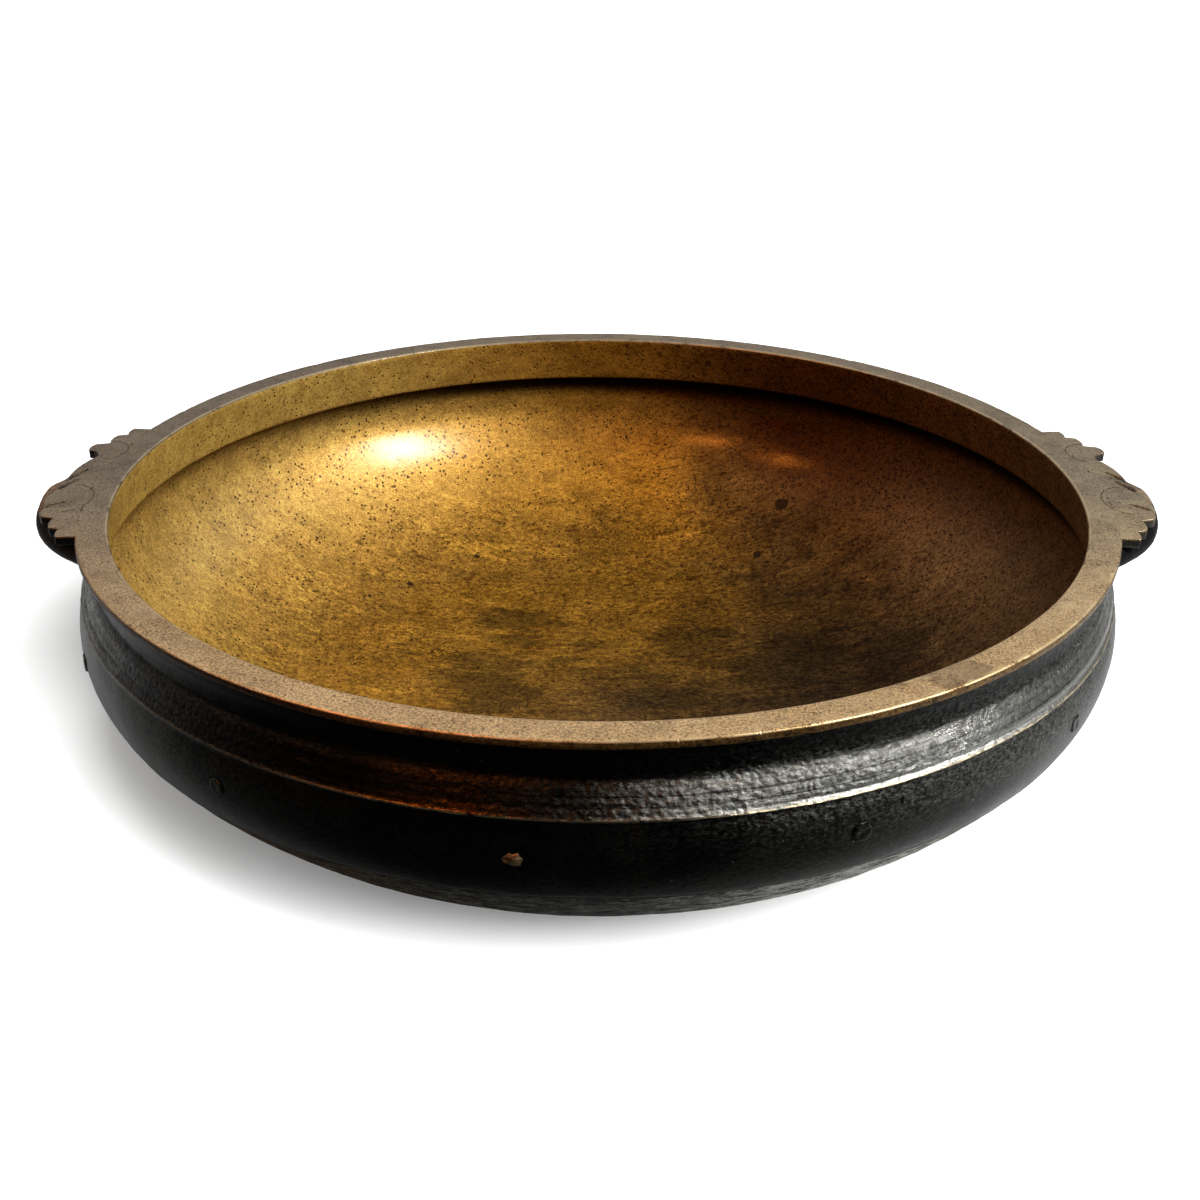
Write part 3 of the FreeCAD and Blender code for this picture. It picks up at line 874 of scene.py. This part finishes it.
def inside_look():
    """Old brass inside: gold to the left and middle, brown and mottled to the right, pitted; painted light
    on the left wall and collar, painted shade on the right, the front, the floor and the upper wall.
    """
    look = Look("aged_brass_inside")
    x, y, z = look.split(look.place)
    drawn = look.stretched(0.55, 1.3, 1.0)
    long = look.stretched(0.34, 1.5, 1.0)
    other = look.vector("ADD", drawn, (5.0, 2.0, 1.0))
    big = look.noise(95, 3, 0.5)
    cloud = look.noise(34, 6, 0.66, 0.3)
    mottle = look.noise(14, 8, 0.74, 0.15, drawn)
    fine = look.noise(2.7, 6, 0.84, 0.0, look.stretched(0.85, 1.1, 1.0))
    grain = look.noise(0.85, 1, 0.6)

    gold = look.mix(look.ramp(cloud, 0.36, 0.66), (0.84, 0.48, 0.068), (0.68, 0.37, 0.040))
    # Painted light: the left wall is made paler and brighter gold where the key lamp lights it.
    wall = look.ramp(z, 0.0, 0.065)
    left = look.ramp(x, 0.02, -0.16)
    gold = look.mix(look.times(wall, left, 0.75), gold, (0.88, 0.58, 0.17))
    gold = look.tint(gold, look.ramp(x, 0.03, -0.13, 1.0, 1.22))
    # Brown to the right: the patina the bowl has there, darkened further as painted shade on the side turned
    # away from the key lamp.
    shift = look.times(look.minus(big, 0.5), 0.16)
    right = look.ramp(look.plus(x, shift), 0.02, 0.12)
    brown = look.mix(look.ramp(cloud, 0.36, 0.64), (0.245, 0.150, 0.052), (0.140, 0.082, 0.030))
    brown = look.mix(look.ramp(x, 0.13, 0.19), brown, (0.34, 0.24, 0.12))
    look.colour = look.mix(look.times(right, 0.88), gold, brown)
    # Painted shadow of the collar on the upper wall towards the back and right.
    painted_collar_shadow = look.times(look.ramp(z, 0.05, 0.085), look.ramp(x, -0.15, 0.11))
    look.cover(look.times(painted_collar_shadow, 0.75), (0.085, 0.034, 0.010))
    # Painted shadow of the rim across the front of the floor.
    front = look.times(look.ramp(y, 0.10, 0.0), look.ramp(x, -0.12, 0.04))
    look.cover(look.times(front, 0.8), (0.145, 0.095, 0.044))

    # Painted shade: the floor is made darker than the walls.
    look.dye(look.ramp(z, 0.015, 0.065, 0.59, 1.0))
    look.dye(look.ramp(mottle, 0.32, 0.68, 0.80, 1.18))
    flecks = look.mix(look.ramp(fine, 0.36, 0.64), (0.42, 0.35, 0.26), (1.36, 1.35, 1.30))
    look.dye(flecks, look.ramp(z, 0.065, 0.015, 0.42, 1.0))
    flecks = look.mix(look.ramp(grain, 0.36, 0.64), (0.70, 0.64, 0.57), (1.16, 1.16, 1.16))
    look.dye(flecks)
    crisp = look.ramp(look.noise(2.0, 3, 0.8, 0.0, drawn), 0.53, 0.60)
    crisp = look.times(crisp, look.ramp(look.plus(x, shift), -0.08, 0.08, 0.2, 1.0))
    look.dye((0.34, 0.27, 0.22), crisp)
    # Painted light: the collar's inner face, which leans down away from the lamps, is made half as bright
    # again.
    look.dye(look.ramp(z, 0.1108, 0.1125, 1.0, 1.5))

    stain = look.most_of([look.times(look.spot(*place), depth) for *place, depth in STAINS])
    torn = look.math("MULTIPLY_ADD", look.noise(24, 10, 0.8, 0.15, long), 1.7, -0.35)
    torn = look.plus(look.times(stain, 0.42), torn)
    stain = look.times(look.ramp(torn, 0.70, 0.77), look.ramp(stain, 0.0, 0.25))
    dark = look.mix(look.ramp(mottle, 0.4, 0.6), (0.56, 0.59, 0.64), (0.36, 0.37, 0.39))
    look.dye(dark, look.times(stain, 0.85))
    low_place = look.ramp(z, 0.078, 0.03)
    toward = look.ramp(x, -0.16, 0.0, 0.45, 1.0)
    soil = look.ramp(look.noise(15, 10, 0.82, 0.2, other), 0.53, 0.60)
    soiled = look.times(soil, toward, look.ramp(z, 0.078, 0.03, 0.12, 0.72))
    look.dye((0.40, 0.34, 0.29), soiled)
    apart = look.vector("ADD", long, (1.0, 7.0, 3.0))
    pale = look.ramp(look.noise(19, 9, 0.8, 0.25, apart), 0.54, 0.59)
    pale = look.times(pale, low_place, 0.75)
    look.dye((1.6, 1.66, 1.6), pale)

    holes = look.holes(2.9, 0.15, 0.27, look.ramp(look.noise(20, 5, 0.7), 0.43, 0.52))
    larger = look.holes(9.5, 0.06, 0.12, look.ramp(look.noise(40, 4, 0.6), 0.42, 0.5))
    holes = look.most(holes, larger)
    flakes = look.ramp(look.noise(8, 10, 0.86, 0.3, drawn), 0.585, 0.62)
    flakes = look.times(flakes, toward, look.ramp(z, 0.09, 0.05, 0.2, 0.85))
    look.dye((0.34, 0.26, 0.20), flakes)
    vein = look.size(look.minus(look.noise(24, 6, 0.6, 0.3, drawn), 0.5))
    cracks = look.times(look.ramp(vein, 0.0, 0.009, 1.0, 0.0), look.ramp(look.noise(17, 3), 0.53, 0.58))
    cracks = look.times(cracks, look.ramp(z, 0.06, 0.035))
    look.cover(look.times(look.most(holes, cracks), 0.88), (0.026, 0.012, 0.005))
    marks = look.most_of([look.spot(*pit) for pit in PITS])
    marks = look.plus(look.times(marks, 0.8), look.noise(2.6, 4, 0.7))
    marks = look.ramp(marks, 0.83, 0.93)
    look.cover(look.times(marks, 0.9), (0.03, 0.014, 0.007))
    ring = look.hill(around_chaplets(look, x, y, z), 0.0038, 0.0008)
    look.cover(look.times(ring, 0.22), (0.05, 0.028, 0.012))

    shade = look.times(look.ramp(z, 0.096, 0.105), look.ramp(z, 0.1113, 0.1103))
    shade = look.times(shade, look.ramp(x, -0.20, -0.06, 0.4, 1.0))
    look.cover(look.times(shade, 0.92), (0.012, 0.006, 0.002))
    hollowed = look.most(look.most(holes, cracks), marks)
    relief = look.bump(fine, 0.09)
    relief = look.bump(grain, 0.06, relief)
    relief = look.bump(look.minus(1.0, hollowed), 0.25, relief)
    rough = look.plus(look.ramp(mottle, 0.35, 0.65, 0.46, 0.54), look.ramp(x, 0.0, 0.06, 0.0, 0.12))
    coat = look.times(look.ramp(z, 0.045, 0.072, 0.06, 1.0), look.ramp(x, -0.02, 0.05, 1.0, 0.4))
    coat = look.times(coat, look.ramp(x, 0.12, 0.16, 1.0, 0.2))
    coat = look.times(coat, look.minus(1.0, shade))
    coat_rough = look.ramp(x, 0.0, 0.05, 0.2, 0.13)
    skin = look.bump(fine, 0.045)
    return look.set(
        metal=0.6, rough=rough, normal=relief, specular=0.1,
        coat=coat, coat_rough=coat_rough, coat_normal=skin, coat_ior=1.5,
    )


def rim_look(name, side_colours):
    """The rim, lip and plates: greyish tan brass with fine scratches, specks and brown stains."""
    look = Look(name)
    x, y, z = look.split(look.place)
    radius = look.vector("LENGTH", look.join(x, y, 0.0))
    cloud = look.noise(22, 6, 0.66, 0.3)
    fine = look.noise(3.2, 5, 0.7)
    grain = look.noise(0.95, 1, 0.5)
    scratch = look.noise(2.0, 4, 0.7, 0.0, look.stretched(0.2, 1.8, 1.0))
    scratch2 = look.noise(1.8, 4, 0.7, 0.0, look.stretched(1.8, 0.25, 1.0))
    # Painted reflection: the rim is made warmer and brighter towards the front.
    front = look.ramp(y, 0.0, -0.2)
    look.colour = look.mix(look.ramp(cloud, 0.34, 0.66), (0.47, 0.365, 0.235), (0.36, 0.275, 0.175))
    warm_front_sheen = look.mix(look.ramp(cloud, 0.34, 0.66), (0.70, 0.475, 0.225), (0.54, 0.36, 0.165))
    look.cover(front, warm_front_sheen)
    look.dye(look.ramp(fine, 0.3, 0.7, 0.86, 1.13))
    look.dye(look.ramp(grain, 0.40, 0.60, 0.56, 1.26))
    look.dye(look.ramp(x, -0.22, -0.08, 0.80, 1.0))
    look.cover(look.ramp(scratch, 0.55, 0.75, 0.0, 0.4), (0.66, 0.54, 0.36))
    look.cover(look.ramp(scratch2, 0.55, 0.75, 0.0, 0.45), (0.23, 0.17, 0.105))
    stain = look.times(look.ramp(look.noise(17, 8, 0.72, 0.3), 0.56, 0.63), 0.5)
    patch = look.plus(look.times(look.spot(133, -192, 136, 24), 0.6), look.noise(11, 6, 0.7))
    stain = look.most(stain, look.times(look.ramp(patch, 0.70, 0.76), 0.85))
    look.dye((0.42, 0.38, 0.36), stain)
    specks = look.holes(2.7, 0.14, 0.26, look.ramp(look.noise(14, 4), 0.42, 0.53))
    look.cover(look.times(specks, 0.8), (0.085, 0.045, 0.02))
    on_top = look.ramp(z, 0.1350, 0.1354)
    ochre = look.mix(look.ramp(fine, 0.35, 0.65), *side_colours)
    grime = look.ramp(look.noise(4.5, 5, 0.7), 0.54, 0.62, 0.0, 0.9)
    ochre = look.mix(grime, ochre, (0.035, 0.02, 0.01))
    ochre = look.tint(ochre, look.ramp(grain, 0.34, 0.66, 0.6, 1.4))
    outer_side = look.times(look.ramp(radius, 0.2355, 0.2365), look.minus(1.0, on_top))
    inner_edge = look.times(look.hill(radius, 0.2262, 0.0009), look.ramp(look.noise(16, 5, 0.7), 0.36, 0.5))
    look.cover(look.times(inner_edge, 0.8), (0.80, 0.66, 0.42))
    ochre = look.tint(ochre, look.ramp(x, -0.2, 0.02, 0.15, 0.9))
    look.cover(outer_side, ochre)
    # Painted highlight: a cream line along the rim's outer top edge, stronger towards the right.
    worn = look.hill(z, 0.1355, 0.0006)
    worn = look.times(worn, look.ramp(look.noise(16, 5, 0.7), 0.40, 0.52))
    worn = look.times(worn, look.ramp(x, -0.16, 0.05, 0.35, 1.0))
    look.cover(worn, (0.86, 0.68, 0.38))
    sunk = look.ramp(z, 0.13568, 0.1358, 1.0, 0.0)
    flat_part = look.ramp(radius, 0.2268, 0.2272)
    handles = look.ramp(look.size(x), 0.228, 0.232)
    sunk = look.times(sunk, on_top, flat_part, handles)
    look.cover(look.times(sunk, 0.85), (0.07, 0.05, 0.032))
    shade = look.times(look.ramp(y, -0.14, 0.02, 0.0, 0.68), on_top)
    look.dye((0.45, 0.47, 0.52), shade)
    relief = look.bump(fine, 0.07)
    relief = look.bump(grain, 0.05, relief)
    relief = look.bump(scratch, 0.03, relief)
    relief = look.bump(look.minus(1.0, specks), 0.14, relief)
    rough = look.ramp(cloud, 0.3, 0.7, 0.36, 0.48)
    return look.set(metal=0.7, rough=rough, normal=relief, coat=0.12, coat_rough=0.3, coat_normal=relief)


def outside_look():
    """The blackened outside: rough on the shoulder, dull under the step, brass worn through on the ridge
    with a painted highlight; painted sheen, glints, reflection and shade on the shoulder, belly and step.
    """
    look = Look("blackened_brass_outside")
    x, y, z = look.split(look.place)
    cloud = look.noise(40, 6, 0.66, 0.3)
    fine = look.noise(4.5, 5, 0.7)
    grain = look.noise(1.6, 4, 0.8, 0.0, look.stretched(0.7, 0.7, 1.5))
    lumps = look.cells(2.1, "SMOOTH_F1")
    look.colour = look.mix(look.ramp(cloud, 0.35, 0.7), (0.022, 0.023, 0.021), (0.050, 0.050, 0.044))
    look.cover(look.ramp(fine, 0.58, 0.74, 0.0, 0.35), (0.09, 0.088, 0.078))

    band = look.times(look.ramp(z, 0.1032, 0.1045), look.ramp(z, 0.1190, 0.1135))
    # Painted sheen: pale grey on the shoulder band at the right front, where the key falls, and at the far
    # left and right sides.
    near_right = look.times(look.ramp(x, -0.01, 0.065), look.ramp(y, 0.02, -0.06))
    near_right = look.times(near_right, look.ramp(x, 0.12, 0.175, 1.0, 0.2))
    far_side = look.times(look.ramp(look.size(x), 0.17, 0.225), 0.3)
    lit = look.most(near_right, far_side)
    grey = look.mix(look.ramp(fine, 0.4, 0.6), (0.98, 0.98, 0.94), (0.42, 0.42, 0.40))
    look.cover(look.times(band, lit, look.ramp(cloud, 0.3, 0.6, 1.0, 0.75)), grey)
    # Painted highlight on the polished strip above the ridge at the right front; the strip's smoothness is
    # real.
    polished_facet_and_sheen = look.times(look.hill(z, 0.1056, 0.0024), look.ramp(x, 0.0, 0.10), look.ramp(y, 0.0, -0.08))
    look.cover(look.times(polished_facet_and_sheen, 0.9), (0.74, 0.74, 0.70))
    # Painted glints: grey specks below the ridge at the right front, where the key falls.
    below = look.times(look.ramp(z, 0.082, 0.1), look.ramp(y, -0.02, -0.12))
    below = look.times(below, look.ramp(x, -0.02, 0.07))
    look.cover(look.times(below, look.ramp(grain, 0.45, 0.62)), (0.12, 0.12, 0.11))
    # Painted reflection: a red-brown tint on the shoulder at the front left.
    painted_red_reflection = look.times(look.hill(x, -0.062, 0.045), band, look.ramp(y, 0.0, -0.1))
    painted_red_reflection = look.times(painted_red_reflection, look.ramp(z, 0.1095, 0.1045, 0.3, 0.95))
    look.cover(painted_red_reflection, (0.13, 0.068, 0.021))
    # Painted shade: the shoulder at the front left is made nearly black.
    painted_front_left_shade = look.times(look.hill(x, -0.135, 0.10), band, look.ramp(y, 0.0, -0.1))
    look.cover(look.times(painted_front_left_shade, 0.85), (0.004, 0.004, 0.004))
    # Painted shade: a dark line along each turned groove.
    for height, depth, width in GROOVES:
        line = look.hill(z, height * 0.001, width * 0.001)
        apart = look.vector("ADD", look.place, (0.0, 0.0, height))
        shown = look.ramp(look.noise(70, 3, 0.6, 0.0, apart), 0.38, 0.6, 0.3, 1.0)
        look.cover(look.times(line, shown, 1.7 * depth), (0.006, 0.006, 0.005))

    ragged = look.times(look.minus(fine, 0.5), 0.002)
    under = look.ramp(look.plus(z, ragged), 0.0668, 0.0676, 1.0, 0.0)
    dull = look.mix(look.ramp(cloud, 0.4, 0.66), (0.24, 0.255, 0.21), (0.33, 0.31, 0.24))
    # Painted light: the dull strip under the step is made near white at the right front, where the lit floor
    # faces it.
    painted_lit_side = look.times(look.ramp(x, 0.0, 0.09), look.ramp(y, 0.0, -0.08))
    painted_lit_side = look.times(painted_lit_side, look.ramp(x, 0.09, 0.14, 0.9, 0.25))
    dull = look.mix(painted_lit_side, dull, (0.98, 1.0, 0.92))
    tan = look.times(look.ramp(x, -0.05, -0.13), look.ramp(look.noise(18, 6, 0.7), 0.42, 0.55))
    dull = look.mix(look.ramp(x, -0.02, -0.12), dull, (0.20, 0.15, 0.082))
    dull = look.mix(tan, dull, (0.27, 0.165, 0.065))
    streaks = look.noise(5, 6, 0.75, 0.0, look.stretched(0.5, 0.5, 2.0))
    dull = look.tint(dull, look.ramp(streaks, 0.38, 0.62, 0.15, 1.9))
    look.cover(under, dull)
    # A dark line painted along the step.
    waver = look.times(look.minus(look.noise(9, 4, 0.6), 0.5), 0.0016)
    dark_step_line = look.hill(look.plus(z, waver), 0.0673, 0.0008)
    look.cover(dark_step_line, (0.003, 0.003, 0.002))
    look.dye(look.ramp(grain, 0.36, 0.64, 0.45, 1.55))
    # Painted shadow: the neck under the lip is made darker.
    look.dye(look.ramp(z, 0.116, 0.120, 1.0, 0.45))

    # The ridge line: brass worn through, with a painted highlight that grows towards the right and front.
    worn = look.times(look.hill(z, 0.10365, 0.0008), look.ramp(look.noise(11, 5, 0.7), 0.36, 0.50))
    worn = look.times(worn, look.ramp(x, -0.18, -0.04, 0.3, 1.0), look.ramp(y, 0.0, -0.12, 0.3, 1.0))
    look.cover(worn, (0.95, 0.80, 0.52))
    dots = look.holes(5.5, 0.05, 0.11, look.ramp(look.noise(45, 3), 0.46, 0.56))
    dots = look.times(dots, look.ramp(look.plus(x, y), -0.33, -0.22))
    look.cover(look.times(dots, 0.7), (0.42, 0.42, 0.38))
    pin = around_chaplets(look, x, y, z)
    look.cover(look.times(look.hill(pin, 0.0042, 0.0009), 0.8), (0.006, 0.006, 0.005))

    rough_place = look.math("MAXIMUM", band, look.times(below, 0.8), None, True)
    rough_place = look.times(rough_place, look.minus(1.0, look.times(polished_facet_and_sheen, 0.7)))
    smoother = look.minus(1.0, look.times(look.hill(x, -0.085, 0.08), 0.75))
    rough_place = look.times(rough_place, smoother)
    relief = look.bump(fine, 0.10)
    relief = look.bump(look.times(look.minus(1.0, lumps), rough_place), 0.60, relief)
    relief = look.bump(look.times(grain, look.most(rough_place, under)), 0.50, relief)
    relief = look.bump(look.noise(1.5, 3, 0.7), 0.15, relief)
    rough = look.plus(look.ramp(cloud, 0.3, 0.7, 0.25, 0.36), look.times(under, 0.25))
    metal = look.minus(1.0, look.times(under, 0.95))
    return look.set(metal=metal, rough=rough, normal=relief, specular=0.2)


def grip_look():
    """The grips: black, with brass worn through on the flat top where it meets the plate."""
    look = Look("blackened_brass_grip")
    x, y, z = look.split(look.place)
    cloud = look.noise(20, 5, 0.6)
    fine = look.noise(4, 4, 0.62)
    look.colour = look.mix(look.ramp(cloud, 0.35, 0.7), (0.007, 0.007, 0.008), (0.014, 0.013, 0.011))
    look.cover(look.ramp(fine, 0.62, 0.75, 0.0, 0.5), (0.05, 0.04, 0.025))
    top = look.times(look.ramp(z, 0.1290, 0.1306), look.ramp(y, -0.034, -0.024))
    brass = look.mix(look.ramp(fine, 0.4, 0.62), (0.30, 0.245, 0.165), (0.17, 0.14, 0.10))
    look.cover(top, brass)
    relief = look.bump(fine, 0.14)
    relief = look.bump(look.noise(1.4, 3), 0.05, relief)
    rough = look.ramp(cloud, 0.3, 0.7, 0.42, 0.55)
    return look.set(metal=0.0, rough=rough, normal=relief, specular=0.05)


def pin_look(name, colours, metal):
    """A chaplet's end: rubbed brass; the dark ring where it meets the wall is in the outside's look."""
    look = Look(name)
    cloud = look.noise(3.5, 4, 0.6)
    look.colour = look.mix(look.ramp(cloud, 0.35, 0.65), colours[0], colours[1])
    relief = look.bump(look.noise(1.6, 4, 0.65), 0.18)
    return look.set(metal=metal, rough=look.ramp(cloud, 0.3, 0.7, 0.3, 0.5), normal=relief)


# ---- studio
FLOOR_REACH, FLOOR_RINGS, FLOOR_AROUND = 8.0, 40, 96
FLOOR_SEEN = 0.2  # glow of the floor near the bowl as the camera sees it; it rises to 1 further away
FLOOR_WHITE = 0.8
FLOOR_BACK, FLOOR_FRONT = 0.31, 0.01  # how pale the floor is to the bowl's reflections, behind and in front
ROOM_UP, ROOM_BACK = (0.05, 0.8), (0.04, 1.0)  # the room's light from low to high, and from front to back
# azimuth, elevation, distance, width, height, radiance, colour and what it lights
LIGHTS = {
    "key": (-27, 40, 1.7, 0.36, 0.5, 34.5, (1.0, 0.985, 0.95), "metal"),
    "key_on_floor": (-66, 43, 1.7, 0.9, 0.9, 40.0, (1.0, 1.0, 1.0), "ground"),
    "fill_high": (-127, 47, 1.6, 0.20, 0.08, 68.0, (1.0, 0.28, 0.03), "metal"),
    "fill_low": (-156, 48, 1.6, 0.20, 0.08, 50.0, (1.0, 0.26, 0.025), "metal"),
    "warm_card": (-125, 13, 1.2, 0.4, 0.25, 0.22, (1.0, 0.5, 0.2), "metal"),
}


def floor_material():
    """White to the camera, with the bowl's soft shadow; dimmer towards the front in reflections."""
    material = bpy.data.materials.new("floor_white")
    material.use_nodes = True
    nodes = Nodes(material.node_tree)
    seen = nodes.node("LightPath").outputs["Is Camera Ray"]
    place = nodes.node("TexCoord").outputs["Object"]
    x, y, _ = nodes.split(place)
    slanted = nodes.math("MULTIPLY_ADD", nodes.most(x, -0.08), 0.5, y)
    pale = nodes.ramp(slanted, -0.3, 0.08, FLOOR_FRONT, FLOOR_BACK)
    glow = nodes.ramp(nodes.vector("LENGTH", place), 0.3, 1.1, FLOOR_SEEN, 1.0)
    pale = nodes.node("Mix", seen, None, pale, FLOOR_WHITE, data_type="FLOAT").outputs[0]
    glow = nodes.node("Mix", seen, None, 0.0, glow, data_type="FLOAT").outputs[0]
    diffuse = nodes.node("BsdfDiffuse", pale).outputs[0]
    emission = nodes.node("Emission", None, glow).outputs[0]
    nodes.node("OutputMaterial", nodes.node("AddShader", diffuse, emission).outputs[0])
    return material


def make_floor():
    """A plain round floor, finer near the bowl."""
    vertices = [(0.0, 0.0, 0.0)]
    faces = [(0, 1 + k, 1 + (k + 1) % FLOOR_AROUND) for k in range(FLOOR_AROUND)]
    for i in range(1, FLOOR_RINGS + 1):
        r = FLOOR_REACH * (i / FLOOR_RINGS) ** 2
        for k in range(FLOOR_AROUND):
            a = 2 * math.pi * k / FLOOR_AROUND
            vertices.append((r * math.cos(a), r * math.sin(a), 0.0))
    for i in range(FLOOR_RINGS - 1):
        a, b = 1 + i * FLOOR_AROUND, 1 + (i + 1) * FLOOR_AROUND
        for k in range(FLOOR_AROUND):
            m = (k + 1) % FLOOR_AROUND
            faces.append((a + k, b + k, b + m, a + m))
    floor = mesh_object("floor", np.array(vertices), faces, [floor_material()])
    floor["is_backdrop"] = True
    return floor


def make_world():
    """White behind the bowl; for reflections, a dim room that is brighter above and behind."""
    world = bpy.data.worlds.new("studio")
    bpy.context.scene.world = world
    world.use_nodes = True
    nodes = Nodes(world.node_tree)
    _, y, z = nodes.split(nodes.node("TexCoord").outputs["Generated"])
    strength = nodes.times(nodes.ramp(z, 0.05, 0.6, *ROOM_UP), nodes.ramp(y, -0.5, 0.6, *ROOM_BACK))
    room = nodes.node("Background", (1.0, 0.99, 0.97), strength).outputs[0]
    shown = nodes.node("Background", (1.0, 1.0, 1.0), 1.0).outputs[0]
    seen = nodes.node("LightPath").outputs["Is Camera Ray"]
    nodes.node("OutputWorld", nodes.node("MixShader", seen, room, shown).outputs[0])


def make_light(name, groups):
    """A soft box in that direction from the bowl, turned to it; radiance is that of its face."""
    azimuth, elevation, distance, width, height, radiance, colour, lit = LIGHTS[name]
    a, e = math.radians(azimuth), math.radians(elevation)
    way = Vector((math.cos(a) * math.cos(e), math.sin(a) * math.cos(e), math.sin(e)))
    data = bpy.data.lights.new(name, "AREA")
    data.shape = "RECTANGLE"
    data.size = width
    data.size_y = height
    data.energy = radiance * width * height * math.pi
    data.color = colour
    if lit == "metal":
        data.cycles.max_bounces = 0
    light = bpy.data.objects.new(name, data)
    light.location = way * distance + Vector((0, 0, RIM_TOP * 0.6))
    light.rotation_mode = "QUATERNION"
    light.rotation_quaternion = way.to_track_quat("Z", "Y")
    light.visible_camera = False
    bpy.context.scene.collection.objects.link(light)
    light.light_linking.receiver_collection = groups[lit]


make_camera()
make_world()
floor = make_floor()
outside, inside = outside_look(), inside_look()
rim = rim_look("taupe_brass_rim", ((0.33, 0.19, 0.055), (0.17, 0.085, 0.022)))
plate_brass = rim_look("taupe_brass_plate", ((0.060, 0.052, 0.036), (0.022, 0.021, 0.018)))
grip_black = grip_look()
bright_pin = pin_look("chaplet_rubbed", ((0.62, 0.44, 0.22), (0.16, 0.10, 0.045)), 0.9)

make_bowl([outside, rim, inside])
for side, turn in (("right", 0), ("left", 180)):
    make_plate(side, [plate_brass])
    make_grip(side, turn, [grip_black])
for number in range(1, 13):
    make_chaplet(number, [bright_pin if number == RUBBED_CHAPLET else outside, inside])

groups = {name: bpy.data.collections.new(name) for name in ("metal", "ground")}
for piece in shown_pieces():
    groups["metal"].objects.link(piece)
groups["ground"].objects.link(floor)
for name in LIGHTS:
    make_light(name, groups)

bpy.context.scene.view_settings.view_transform = "Standard"
